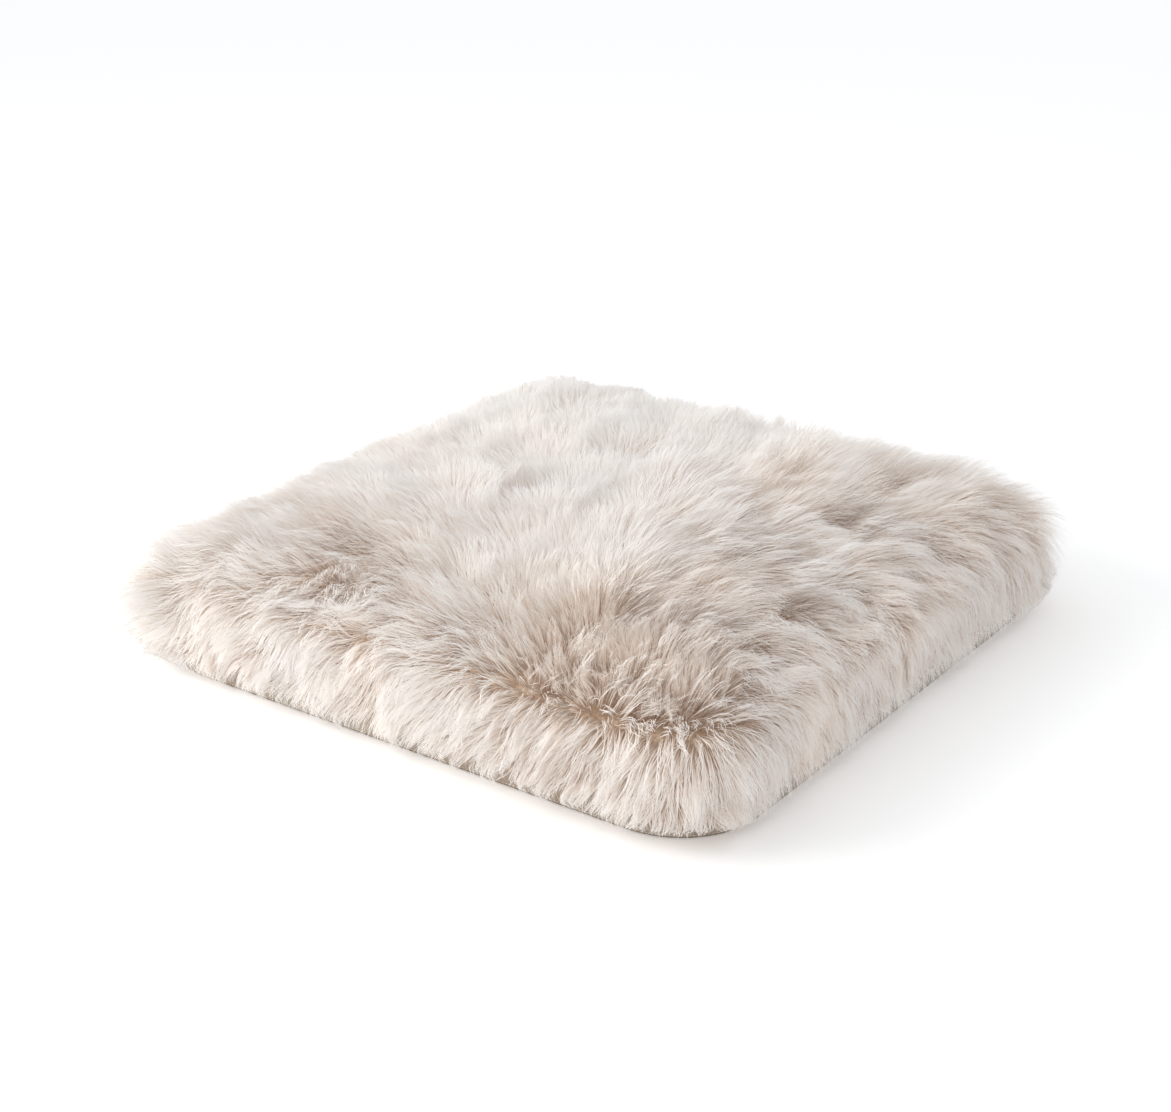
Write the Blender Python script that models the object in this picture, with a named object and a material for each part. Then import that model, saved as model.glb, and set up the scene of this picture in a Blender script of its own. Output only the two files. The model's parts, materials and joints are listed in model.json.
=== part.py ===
"""Square pet cushion bed: a sheepskin cover with a zipped base over a stuffed insert.

Metres, +Z up. The bed rests on z = 0 with its centre on the Z axis, and the zip is on the +Y side.
"""

import math

import bmesh
import bpy
from mathutils import Vector

# --- Driving sizes -----------------------------------------------------------------------------

COVER_WIDTH = 0.824          # hide to hide along X, without the wool
COVER_DEPTH = 0.824          # hide to hide along Y, without the wool
CORNER_RADIUS = 0.10         # plan radius of the cover at its walls
SIDE_HEIGHT = 0.092          # height of a side pelt's hide
CROWN_RISE = 0.037           # how far the stuffed top rises above its edge seam
HIDE_FULLNESS = 2.2          # power of the hide's dome: higher is flatter in the middle
WOOL_FULLNESS = 3.4          # the same for the dome of the wool tips
PILE_SIDE = 0.045            # how far the wool stands out from the walls
PILE_TOP = 0.045             # how far the wool stands up from the top
SKIN = 0.002                 # thickness of hide, base canvas and band
GAP = 0.0005                 # room left between pieces that touch

BAND_HEIGHT = 0.030          # canvas band between the base and the side pelts
HEM_HEIGHT = 0.008           # how far the hanging wool stays above the floor
BACK_HEM_DROP = 0.006        # how far the clipped wool hangs below the seam over the zip
CENTRE_SEAM_X = 0.035        # where the two top pelts meet
STAY_TAPE_WIDTH = 0.016      # tape sewn under the pelt seams
STAY_TAPE = 0.001            # its thickness

LINER = 0.001                # insert ticking
BASE_WADDING = 0.018         # fibre layer under the foam
FOAM_DROP = 0.014            # how far the foam slab ends below the top seam

ZIP_LENGTH = 0.560
ZIP_TAPE = 0.001             # thickness of a zip tape
COIL_HEIGHT = 0.0026         # one half of the closed zip coil, across the zip
COIL_DEPTH = 0.0016          # how far the coil stands off its tape
STOP_LENGTH = 0.004
SLIDER_LENGTH = 0.013
SLIDER_WALL = 0.0011
PIN_RADIUS = 0.0007
PIN_CLEARANCE = 0.0004
LUG_THICKNESS = 0.0009
PULL_LENGTH = 0.026
PULL_WIDTH = 0.0068
PULL_THICKNESS = 0.0012

LABEL_WIDTH = 0.022
LABEL_HEIGHT = 0.020
LABEL_THICKNESS = 0.0008

# --- Worked out from them ----------------------------------------------------------------------

BAND_BASE = SKIN + GAP
BAND_TOP = SKIN + BAND_HEIGHT
WALL_BASE = BAND_TOP + GAP
SEAM_HEIGHT = WALL_BASE + SIDE_HEIGHT
HIDE_CROWN = SEAM_HEIGHT + CROWN_RISE
WOOL_CROWN = HIDE_CROWN + SKIN + PILE_TOP
MITRE_OUT = 0.60 * PILE_SIDE
MITRE_HEIGHT = SEAM_HEIGHT + 0.80 * PILE_TOP

LINER_OFFSET = -SKIN - GAP
STUFFING_OFFSET = LINER_OFFSET - LINER - GAP
LINER_BASE = SKIN + GAP
STUFFING_BASE = LINER_BASE + LINER + GAP
FOAM_BASE = STUFFING_BASE + BASE_WADDING + GAP
FOAM_TOP = SEAM_HEIGHT - FOAM_DROP

BACK_FACE = COVER_DEPTH / 2
ZIP_HEIGHT = SKIN + BAND_HEIGHT / 2
COIL_FACE = BACK_FACE + GAP + COIL_DEPTH
SLIDER_INNER = COIL_FACE + GAP
SLIDER_OUTER = SLIDER_INNER + SLIDER_WALL
SLIDER_HALF_WIDTH = COIL_HEIGHT + GAP + SLIDER_WALL
EYE_HOLE = PIN_RADIUS + PIN_CLEARANCE
EYE_RADIUS = EYE_HOLE + 0.0008
PIN_FACE = SLIDER_OUTER + GAP + EYE_RADIUS
ZIP_START = -ZIP_LENGTH / 2
SLIDER_REST = ZIP_START + STOP_LENGTH + GAP + SLIDER_LENGTH / 2

CORNER_STEPS = 8
EDGE_STEPS = 6


# --- Materials ---------------------------------------------------------------------------------


def material(name, color, roughness, metallic=0.0):
    """Make a Principled material of one colour."""
    made = bpy.data.materials.new(name)
    made.use_nodes = True
    shader = made.node_tree.nodes["Principled BSDF"]
    shader.inputs["Base Color"].default_value = (*color, 1.0)
    shader.inputs["Roughness"].default_value = roughness
    shader.inputs["Metallic"].default_value = metallic
    made.diffuse_color = (*color, 1.0)
    return made


# --- Shapes ------------------------------------------------------------------------------------


def corner_radius(offset):
    """Plan radius of the ring that lies offset outside the walls; it never shrinks to nothing."""
    return CORNER_RADIUS * math.exp(offset / CORNER_RADIUS)


def ring(offset, height):
    """Points of a rounded rectangle that lies offset outside the walls, seen anticlockwise."""
    half_x = COVER_WIDTH / 2 + offset
    half_y = COVER_DEPTH / 2 + offset
    radius = min(corner_radius(offset), half_x * 0.95, half_y * 0.95)
    centres = [(1, -1), (1, 1), (-1, 1), (-1, -1)]
    points = []
    for corner, (sign_x, sign_y) in enumerate(centres):
        centre = Vector((sign_x * (half_x - radius), sign_y * (half_y - radius), height))
        start = (corner - 1) * math.pi / 2
        for step in range(CORNER_STEPS + 1):
            angle = start + step / CORNER_STEPS * math.pi / 2
            points.append(centre + radius * Vector((math.cos(angle), math.sin(angle), 0)))
        next_x, next_y = centres[(corner + 1) % 4]
        next_centre = Vector((next_x * (half_x - radius), next_y * (half_y - radius), height))
        arc_end = points[-1]
        next_start = next_centre + (arc_end - centre)
        for step in range(1, EDGE_STEPS):
            points.append(arc_end.lerp(next_start, step / EDGE_STEPS))
    return points


def loft(stations, closed):
    """Skin a stack of (offset, height) rings: round on itself when closed, else with two caps."""
    mesh = bmesh.new()
    loops = [[mesh.verts.new(point) for point in ring(*station)] for station in stations]
    joins = list(zip(loops, loops[1:]))
    if closed:
        joins.append((loops[-1], loops[0]))
    for lower, upper in joins:
        for this, after in zip(range(-1, len(lower) - 1), range(len(lower))):
            mesh.faces.new((lower[this], lower[after], upper[after], upper[this]))
    if not closed:
        mesh.faces.new(loops[0])
        mesh.faces.new(loops[-1])
    bmesh.ops.recalc_face_normals(mesh, faces=mesh.faces)
    return mesh


def cut(mesh, planes):
    """Keep what lies behind every (point, normal) plane, and close the cuts."""
    for point, normal in planes:
        parts = mesh.verts[:] + mesh.edges[:] + mesh.faces[:]
        bmesh.ops.bisect_plane(mesh, geom=parts, plane_co=point, plane_no=normal, clear_outer=True)
    for point, normal in planes:
        rim = []
        for edge in mesh.edges:
            heights = [abs((vert.co - point).dot(normal)) for vert in edge.verts]
            if edge.is_boundary and max(heights) < GAP / 100:
                rim.append(edge)
        bmesh.ops.contextual_create(mesh, geom=rim)
    bmesh.ops.recalc_face_normals(mesh, faces=mesh.faces)


def box(low, high):
    """A block between two opposite corners."""
    mesh = bmesh.new()
    bmesh.ops.create_cube(mesh, size=1.0)
    size = Vector(high) - Vector(low)
    bmesh.ops.scale(mesh, vec=size, verts=mesh.verts)
    bmesh.ops.translate(mesh, vec=(Vector(high) + Vector(low)) / 2, verts=mesh.verts)
    return mesh


def rod(radius, low, high):
    """A round rod along Z between two heights, on the Z axis."""
    mesh = bmesh.new()
    bmesh.ops.create_cone(mesh, cap_ends=True, segments=24, radius1=radius, radius2=radius, depth=high - low)
    bmesh.ops.translate(mesh, vec=(0, 0, (low + high) / 2), verts=mesh.verts)
    return mesh


def add(name, mesh, finish, place=(0, 0, 0)):
    """Put a finished mesh in the scene as one named object."""
    data = bpy.data.meshes.new(name)
    mesh.to_mesh(data)
    mesh.free()
    data.materials.append(finish)
    made = bpy.data.objects.new(name, data)
    made.location = place
    bpy.context.scene.collection.objects.link(made)
    return made


def combine(target, other, operation):
    """Join other into target, or cut it away, and hide it."""
    other.parent = target
    other.hide_render = True
    other.display_type = "WIRE"
    step = target.modifiers.new(operation.title(), "BOOLEAN")
    step.operation = operation
    step.solver = "EXACT"
    step.object = other


def apply_modifiers(target):
    """Keep a shape's evaluated mesh and remove the helpers that made it."""
    evaluated = target.evaluated_get(bpy.context.evaluated_depsgraph_get())
    data = bpy.data.meshes.new_from_object(evaluated)
    target.modifiers.clear()
    target.data = data
    for helper in list(target.children):
        bpy.data.objects.remove(helper)


# --- Cover -------------------------------------------------------------------------------------


SIDES = {"front": (0, -1), "right": (1, 0), "back": (0, 1), "left": (-1, 0)}


def side_strips(prefix, section_of, finish, skipped=()):
    """Sweep a section round the bed and part it at the corners into one strip for each side."""
    for side, (side_x, side_y) in SIDES.items():
        if side in skipped:
            continue
        mesh = loft(section_of(side), closed=True)
        centre = Vector((side_x * COVER_WIDTH / 2, side_y * COVER_DEPTH / 2, 0))
        across = Vector((-side_y, side_x, 0))
        reach = COVER_WIDTH / 2 if side_x == 0 else COVER_DEPTH / 2
        planes = []
        for turn in (-1, 1):
            corner = centre + turn * reach * across
            normal = (turn * across - Vector((side_x, side_y, 0))).normalized()
            planes.append((corner - normal * GAP / 2, normal))
        cut(mesh, planes)
        add(f"{prefix}_{side}", mesh, finish)


def dome_height(offset, rim_offset, rim_height, crown_height, power):
    """Height of a stuffed top over a ring, level in the middle and steeper towards its rim."""
    reach = min(COVER_WIDTH, COVER_DEPTH) / 2 + rim_offset
    inward = (rim_offset - offset) / reach
    return rim_height + (crown_height - rim_height) * (1 - (1 - inward) ** power)


def dome_offsets(rim_offset):
    """Offsets of the rings of a top layer, from its rim to its middle."""
    reach = min(COVER_WIDTH, COVER_DEPTH) / 2 + rim_offset
    return [rim_offset - inward * reach for inward in (0, 0.03, 0.08, 0.15, 0.25, 0.4, 0.6, 0.8, 0.96)]


def wool_dome():
    """(offset, height) stations of the tips of the top pelts' wool."""
    lift = 2 * GAP
    stations = []
    for offset in dome_offsets(MITRE_OUT):
        height = dome_height(offset, MITRE_OUT, MITRE_HEIGHT + lift, WOOL_CROWN, WOOL_FULLNESS)
        stations.append((offset, height))
    return stations


def hide_height(offset, drop):
    """Height of the stuffed top at a ring, drop below the inner face of its hide."""
    return dome_height(offset, -SKIN, SEAM_HEIGHT, HIDE_CROWN, HIDE_FULLNESS) - drop


def hide_dome(rim_offset, drop):
    """(offset, height) stations of a layer under the hide, out to rim_offset."""
    return [(offset, hide_height(offset, drop)) for offset in dome_offsets(rim_offset)]


def side_pelt_section(side):
    """Section of a side pelt: hide at the back, wool tips in front, mitred to the top pelts."""
    hem = WALL_BASE - BACK_HEM_DROP if side == "back" else HEM_HEIGHT
    middle = (hem + MITRE_HEIGHT) / 2
    return [
        (-SKIN, WALL_BASE),
        (0, WALL_BASE),
        (0.62 * PILE_SIDE, hem),
        (0.86 * PILE_SIDE, (2 * hem + middle) / 3),
        (PILE_SIDE, middle),
        (0.97 * PILE_SIDE, (middle + MITRE_HEIGHT) / 2),
        (MITRE_OUT, MITRE_HEIGHT),
        (-SKIN, SEAM_HEIGHT),
    ]


def build_top_pelts(finish):
    """The two sheepskins of the top, which meet at the centre seam."""
    outer = wool_dome()
    inner = hide_dome(-SKIN, -2 * GAP)
    for name, turn in (("top_pelt_left", 1), ("top_pelt_right", -1)):
        mesh = loft(inner[::-1] + outer, closed=False)
        cut(mesh, [(Vector((CENTRE_SEAM_X - turn * GAP / 2, 0, 0)), Vector((turn, 0, 0)))])
        add(name, mesh, finish)


def build_side_pelts(finish):
    """The four wool walls."""
    side_strips("side_pelt", side_pelt_section, finish)


def build_stay_tapes(finish):
    """Tapes under the seam round the top and under the seam between the top pelts."""
    drop = GAP
    outer_rim = LINER_OFFSET
    inner_rim = outer_rim - STAY_TAPE_WIDTH
    section = []
    for offset, below in ((outer_rim, drop), (inner_rim, drop), (inner_rim, drop + STAY_TAPE),
                          (outer_rim, drop + STAY_TAPE)):
        section.append((offset, hide_height(offset, below)))
    add("top_seam_tape", loft(section, closed=True), finish)

    rim = inner_rim - GAP
    upper = hide_dome(rim, drop)
    lower = hide_dome(rim, drop + STAY_TAPE)
    mesh = loft(lower[::-1] + upper, closed=False)
    planes = []
    for turn in (-1, 1):
        edge = Vector((CENTRE_SEAM_X + turn * STAY_TAPE_WIDTH / 2, 0, 0))
        planes.append((edge, Vector((turn, 0, 0))))
    cut(mesh, planes)
    add("centre_seam_tape", mesh, finish)


def build_base(canvas):
    """Base panel and the low band that joins it to the side pelts."""
    add("base_panel", loft([(-SKIN, 0), (0, 0.4 * SKIN), (0, SKIN)], closed=False), canvas)

    def band_section(side):
        return [(-SKIN, BAND_BASE), (0, BAND_BASE), (0, BAND_TOP), (-SKIN, BAND_TOP)]

    side_strips("base_band", band_section, canvas, skipped=("back",))
    for name, turn in (("back_band_left", -1), ("back_band_right", 1)):
        mesh = loft(band_section("back"), closed=True)
        corner = Vector((turn * COVER_WIDTH / 2, COVER_DEPTH / 2, 0))
        normal = Vector((turn, -1, 0)).normalized()
        zip_end = Vector((turn * (ZIP_LENGTH / 2 + GAP), 0, 0))
        facing = Vector((-turn, 0, 0))
        cut(mesh, [(corner - normal * GAP / 2, normal), (zip_end, facing)])
        add(name, mesh, canvas)


def build_label(finish):
    """Blank care label, sewn in beside the end of the zip."""
    start = ZIP_LENGTH / 2 + 3 * GAP
    top = BAND_TOP - GAP
    low = (start, BACK_FACE + GAP, top - LABEL_HEIGHT)
    high = (start + LABEL_WIDTH, BACK_FACE + GAP + LABEL_THICKNESS, top)
    add("care_label", box(low, high), finish)


# --- Zip ---------------------------------------------------------------------------------------


def build_zip_rows(tape_finish, coil_finish, metal):
    """Two tapes, the two halves of the closed coil, and the stops at its ends."""
    half = ZIP_LENGTH / 2
    seam = GAP / 2
    coil_reach = half - STOP_LENGTH - GAP
    tape_reach = BAND_HEIGHT / 2 - GAP
    for row, turn in (("upper", 1), ("lower", -1)):
        near = ZIP_HEIGHT + turn * seam
        far = ZIP_HEIGHT + turn * tape_reach
        tape = box((-half, BACK_FACE - ZIP_TAPE, min(near, far)), (half, BACK_FACE, max(near, far)))
        add(f"zip_tape_{row}", tape, tape_finish)

        edge = ZIP_HEIGHT + turn * (COIL_HEIGHT - seam)
        low = (-coil_reach, BACK_FACE + GAP, min(near, edge))
        high = (coil_reach, COIL_FACE, max(near, edge))
        coil = box(low, high)
        outer_edges = []
        for line in coil.edges:
            along = abs(line.verts[0].co.x - line.verts[1].co.x) > half
            if along and all(vert.co.y > COIL_FACE - seam for vert in line.verts):
                outer_edges.append(line)
        bmesh.ops.bevel(coil, geom=outer_edges, offset=0.0005, segments=2, profile=0.5, affect="EDGES")
        add(f"zip_coil_{row}", coil, coil_finish)

    for name, turn in (("zip_top_stop", -1), ("zip_bottom_stop", 1)):
        ends = sorted((turn * (half - STOP_LENGTH), turn * half))
        low = (ends[0], BACK_FACE + GAP, ZIP_HEIGHT - COIL_HEIGHT)
        high = (ends[1], COIL_FACE, ZIP_HEIGHT + COIL_HEIGHT)
        add(name, box(low, high), metal)


def build_slider(metal):
    """Slider that runs over the coil, with two lugs and the pin that its pull turns on."""
    half = SLIDER_LENGTH / 2
    flange = COIL_DEPTH - GAP
    shell = box((-half, SLIDER_INNER, -SLIDER_HALF_WIDTH), (half, SLIDER_OUTER, SLIDER_HALF_WIDTH))
    slider = add("zip_slider", shell, metal)
    lug_inner = PULL_WIDTH / 4 + GAP
    lug_outer = lug_inner + LUG_THICKNESS
    for turn in (-1, 1):
        levels = sorted((turn * (SLIDER_HALF_WIDTH - SLIDER_WALL), turn * SLIDER_HALF_WIDTH))
        side = box((-half, SLIDER_INNER - flange, levels[0]), (half, SLIDER_OUTER - GAP, levels[1]))
        combine(slider, add("flange", side, metal), "UNION")
        levels = sorted((turn * lug_inner, turn * lug_outer))
        reach = 2 * EYE_HOLE
        lug = box((-reach, SLIDER_OUTER - GAP, levels[0]), (reach, PIN_FACE + EYE_HOLE, levels[1]))
        combine(slider, add("lug", lug, metal), "UNION")
    pin_reach = (lug_inner + lug_outer) / 2
    pin = add("pin", rod(PIN_RADIUS, -pin_reach, pin_reach), metal, (0, PIN_FACE, 0))
    combine(slider, pin, "UNION")
    apply_modifiers(slider)
    slider.location = (SLIDER_REST, 0, ZIP_HEIGHT)


def build_pull(metal):
    """Pull tab, whose eye turns on the slider's pin."""
    eye_half = PULL_WIDTH / 4
    pull = add("zip_pull", rod(EYE_RADIUS, -eye_half, eye_half), metal)
    thick = PULL_THICKNESS / 2
    neck_end = 4 * EYE_RADIUS
    neck = box((EYE_HOLE, -thick, -eye_half), (neck_end, thick, eye_half))
    combine(pull, add("neck", neck, metal), "UNION")
    blade = box((neck_end - GAP, -thick, -PULL_WIDTH / 2), (PULL_LENGTH, thick, PULL_WIDTH / 2))
    upright = [line for line in blade.edges if abs(line.verts[0].co.y - line.verts[1].co.y) > thick]
    bmesh.ops.bevel(blade, geom=upright, offset=0.0016, segments=3, profile=0.5, affect="EDGES")
    combine(pull, add("blade", blade, metal), "UNION")
    combine(pull, add("eye", rod(EYE_HOLE, -PULL_WIDTH, PULL_WIDTH), metal), "DIFFERENCE")
    apply_modifiers(pull)
    pull.location = (SLIDER_REST, PIN_FACE, ZIP_HEIGHT)


# --- Insert ------------------------------------------------------------------------------------


def build_insert(ticking, fibre, foam):
    """Ticking case, and the foam slab between its two fibre layers."""
    top_drop = 2 * GAP + STAY_TAPE
    upper = hide_dome(LINER_OFFSET, top_drop)
    lower = hide_dome(LINER_OFFSET, top_drop + LINER)
    add("liner_top", loft(lower[::-1] + upper, closed=False), ticking)
    stuffing_drop = top_drop + LINER + GAP
    wall_top = upper[0][1] - LINER - GAP

    def liner_wall_section(side):
        inner = LINER_OFFSET - LINER
        base = LINER_BASE + LINER + GAP
        return [(inner, base), (LINER_OFFSET, base), (LINER_OFFSET, wall_top), (inner, wall_top)]

    side_strips("liner_wall", liner_wall_section, ticking)
    base = [(LINER_OFFSET, LINER_BASE), (LINER_OFFSET, LINER_BASE + LINER)]
    add("liner_base", loft(base, closed=False), ticking)

    slab = [(STUFFING_OFFSET, STUFFING_BASE), (STUFFING_OFFSET, FOAM_BASE - GAP)]
    add("base_wadding", loft(slab, closed=False), fibre)
    slab = [(STUFFING_OFFSET, FOAM_BASE), (STUFFING_OFFSET, FOAM_TOP)]
    add("foam_core", loft(slab, closed=False), foam)
    crown = hide_dome(STUFFING_OFFSET, stuffing_drop)
    add("top_wadding", loft([(STUFFING_OFFSET, FOAM_TOP + GAP)] + crown, closed=False), fibre)


# --- Assembly ----------------------------------------------------------------------------------


def main():
    """Build every piece of the bed."""
    for old in list(bpy.data.objects):
        bpy.data.objects.remove(old)
    wool = material("wool", (0.80, 0.75, 0.69), 0.85)
    canvas = material("canvas", (0.36, 0.31, 0.26), 0.9)
    webbing = material("webbing", (0.62, 0.57, 0.50), 0.85)
    ticking = material("ticking", (0.86, 0.84, 0.79), 0.8)
    fibre = material("fibre", (0.93, 0.93, 0.92), 0.95)
    foam = material("foam", (0.90, 0.86, 0.70), 0.95)
    label = material("label", (0.92, 0.91, 0.88), 0.6)
    nylon = material("nylon", (0.40, 0.35, 0.30), 0.45)
    metal = material("metal", (0.45, 0.42, 0.38), 0.35, metallic=1.0)

    build_top_pelts(wool)
    build_side_pelts(wool)
    build_stay_tapes(webbing)
    build_base(canvas)
    build_label(label)
    build_zip_rows(canvas, nylon, metal)
    build_slider(metal)
    build_pull(metal)
    build_insert(ticking, fibre, foam)


main()
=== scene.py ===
"""Looks of a square sheepskin pet cushion bed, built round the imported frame.

The hide is a stuffed form made by cloth simulation. Wool grows from it in combed locks, and the canvas base,
the zip and the insert are dressed where the frame has them. Everything is in metres, with +Z up.
"""

import json
import logging
import math
from dataclasses import dataclass, field
from enum import Enum

import bmesh
import bpy
import numpy as np
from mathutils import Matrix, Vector
from mathutils.kdtree import KDTree

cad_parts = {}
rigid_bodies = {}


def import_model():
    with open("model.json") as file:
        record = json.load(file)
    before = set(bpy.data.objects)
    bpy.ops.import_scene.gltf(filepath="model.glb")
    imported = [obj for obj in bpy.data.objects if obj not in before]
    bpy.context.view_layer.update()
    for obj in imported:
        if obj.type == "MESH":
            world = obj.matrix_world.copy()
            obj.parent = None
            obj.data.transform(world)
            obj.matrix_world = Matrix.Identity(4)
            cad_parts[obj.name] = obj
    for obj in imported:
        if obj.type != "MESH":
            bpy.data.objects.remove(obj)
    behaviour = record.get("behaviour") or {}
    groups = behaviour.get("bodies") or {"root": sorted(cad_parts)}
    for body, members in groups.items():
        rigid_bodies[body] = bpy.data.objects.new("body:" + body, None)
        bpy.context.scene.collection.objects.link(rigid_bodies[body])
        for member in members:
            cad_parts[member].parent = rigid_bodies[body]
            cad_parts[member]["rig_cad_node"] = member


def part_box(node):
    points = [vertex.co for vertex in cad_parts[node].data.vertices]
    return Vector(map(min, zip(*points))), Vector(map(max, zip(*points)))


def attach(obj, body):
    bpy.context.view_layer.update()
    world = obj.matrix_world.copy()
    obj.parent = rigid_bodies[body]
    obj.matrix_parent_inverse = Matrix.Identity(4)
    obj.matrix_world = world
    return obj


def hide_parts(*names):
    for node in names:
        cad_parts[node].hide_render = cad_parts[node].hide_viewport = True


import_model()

LOG = logging.getLogger("pet_bed")
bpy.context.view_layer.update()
COVER = "cover"
WOOL_MAP = "OFBake"
SEED = 11
TINY = 1e-9


# --- Small helpers -----------------------------------------------------------------------------


def unit(vectors: np.ndarray) -> np.ndarray:
    """Scale vectors, which run along the last axis, to length one."""
    return vectors / np.maximum(np.linalg.norm(vectors, axis=-1, keepdims=True), TINY)


def read_vertices(data: bpy.types.Mesh, trait: str = "co") -> np.ndarray:
    """Read the vertices of a mesh.

    Args:
        data: The mesh.
        trait: What to read: "co" for places, "normal" for normals.

    Returns:
        One vector to a row.
    """
    rows = np.empty(len(data.vertices) * 3)
    data.vertices.foreach_get(trait, rows)
    return rows.reshape(-1, 3)


def take_mesh(name: str, mesh: bmesh.types.BMesh) -> bpy.types.Mesh:
    """Turn a bmesh into mesh data.

    Args:
        name: Name of the data.
        mesh: The shape, which is freed.

    Returns:
        The mesh data.
    """
    data = bpy.data.meshes.new(name)
    mesh.to_mesh(data)
    mesh.free()
    return data


def add_object(name: str, data: bpy.types.ID) -> bpy.types.Object:
    """Put data into the scene.

    Args:
        name: Name of the object.
        data: A mesh, a light or a camera.

    Returns:
        The object.
    """
    made = bpy.data.objects.new(name, data)
    bpy.context.scene.collection.objects.link(made)
    return made


def turn_faces(mesh: bmesh.types.BMesh, way: Vector) -> None:
    """Make the faces of an open sheet agree.

    Args:
        mesh: The sheet.
        way: Roughly the way that its middle face has to look.
    """
    bmesh.ops.recalc_face_normals(mesh, faces=mesh.faces)
    if mesh.faces[len(mesh.faces) // 2].normal.dot(way) < 0:
        bmesh.ops.reverse_faces(mesh, faces=mesh.faces)


def make_grid(columns: int, rows: int) -> tuple[bmesh.types.BMesh, np.ndarray]:
    """Make a square grid of faces.

    Args:
        columns: Faces along X.
        rows: Faces along Y.

    Returns:
        The grid, and its vertices as shares from -0.5 to 0.5, one to a row.
    """
    mesh = bmesh.new()
    bmesh.ops.create_grid(mesh, x_segments=columns, y_segments=rows, size=0.5)
    return mesh, np.array([vert.co for vert in mesh.verts])


def smooth(edge_low: float, edge_high: float, value: np.ndarray) -> np.ndarray:
    """Rise smoothly from 0 at edge_low to 1 at edge_high.

    Args:
        edge_low: Value where the result starts to rise.
        edge_high: Value where it reaches one.
        value: Where to read it.

    Returns:
        The eased share, of value's shape.
    """
    share = np.clip((value - edge_low) / (edge_high - edge_low), 0, 1)
    return share * share * (3 - 2 * share)


@dataclass
class Ripples:
    """Smooth noise over space, as a sum of plane waves of about one wavelength."""

    wavelength: float
    seed: int
    waves: int = 14
    stretch: tuple[float, float] = (0.6, 1.7)
    height: float = 0.6

    def read(self, points: np.ndarray) -> np.ndarray:
        """Read the noise.

        Args:
            points: Places in the frame, one to a row.

        Returns:
            One value for each place, mostly between -1 and 1.
        """
        random = np.random.default_rng(self.seed)
        heading = unit(random.normal(size=(self.waves, 3)))
        stretch = random.uniform(*self.stretch, (self.waves, 1))
        wave = heading * stretch * 2 * math.pi / self.wavelength
        phase = random.uniform(0, 2 * math.pi, self.waves)
        return np.sin(points @ wave.T + phase).sum(1) * math.sqrt(2 / self.waves) * self.height


# --- Finishes ----------------------------------------------------------------------------------


class Nodes:
    """A short way to write a material's node tree."""

    def __init__(self, tree: bpy.types.NodeTree) -> None:
        """Hold the tree that nodes go into."""
        self.tree = tree

    def add(self, kind: str, **values: object) -> bpy.types.Node:
        """Add a node, set its properties, and fill or link its inputs.

        Args:
            kind: Blender's name for the node type.
            values: Properties by name, or inputs by name or, as input_0, by place.

        Returns:
            The new node.
        """
        node = self.tree.nodes.new(kind)
        for name, value in values.items():
            if name.startswith("input_"):
                self.fill(node.inputs[int(name[6:])], value)
            elif hasattr(node, name):
                setattr(node, name, value)
            else:
                self.fill(node.inputs[name.replace("_", " ")], value)
        return node

    def fill(self, socket: bpy.types.NodeSocket, value: object) -> None:
        """Link an output to a socket, or set the socket's own value.

        Args:
            socket: The input.
            value: An output, or a plain value.
        """
        if isinstance(value, bpy.types.NodeSocket):
            self.tree.links.new(value, socket)
        else:
            socket.default_value = value

    def ramp(self, share: bpy.types.NodeSocket, stops: list[tuple[float, tuple]]) -> bpy.types.NodeSocket:
        """Turn a value into a colour.

        Args:
            share: Value to read.
            stops: Places from 0 to 1 and their colours.

        Returns:
            The colour output.
        """
        node = self.add("ShaderNodeValToRGB", input_0=share)
        marks = node.color_ramp.elements
        while len(marks) < len(stops):
            marks.new(0.5)
        for mark, (place, color) in zip(marks, stops):
            mark.position = place
            mark.color = (*color, 1.0)
        return node.outputs["Color"]

    def math(self, operation: str, *values: object) -> bpy.types.NodeSocket:
        """Reckon with values.

        Args:
            operation: Blender's name for what is done.
            values: Outputs or numbers.

        Returns:
            The result's output.
        """
        node = self.add("ShaderNodeMath", operation=operation)
        for socket, value in zip(node.inputs, values):
            self.fill(socket, value)
        return node.outputs[0]

    def group(self, tree: bpy.types.NodeTree, **values: object) -> bpy.types.Node:
        """Place a node group.

        Args:
            tree: The group.
            values: Its inputs, by name.

        Returns:
            The node that holds it.
        """
        node = self.add("ShaderNodeGroup")
        node.node_tree = tree
        for name, value in values.items():
            self.fill(node.inputs[name], value)
        return node

    def mix(self, share: object, first: object, second: object) -> bpy.types.NodeSocket:
        """Blend two colours.

        Args:
            share: How much of the second there is.
            first: Colour or output.
            second: Colour or output.

        Returns:
            The blended colour output.
        """
        node = self.add("ShaderNodeMix", data_type="RGBA")
        self.fill(node.inputs[0], share)
        for socket, value in ((node.inputs[6], first), (node.inputs[7], second)):
            if isinstance(value, tuple) and len(value) == 3:
                value = (*value, 1.0)
            self.fill(socket, value)
        return node.outputs[2]


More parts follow.
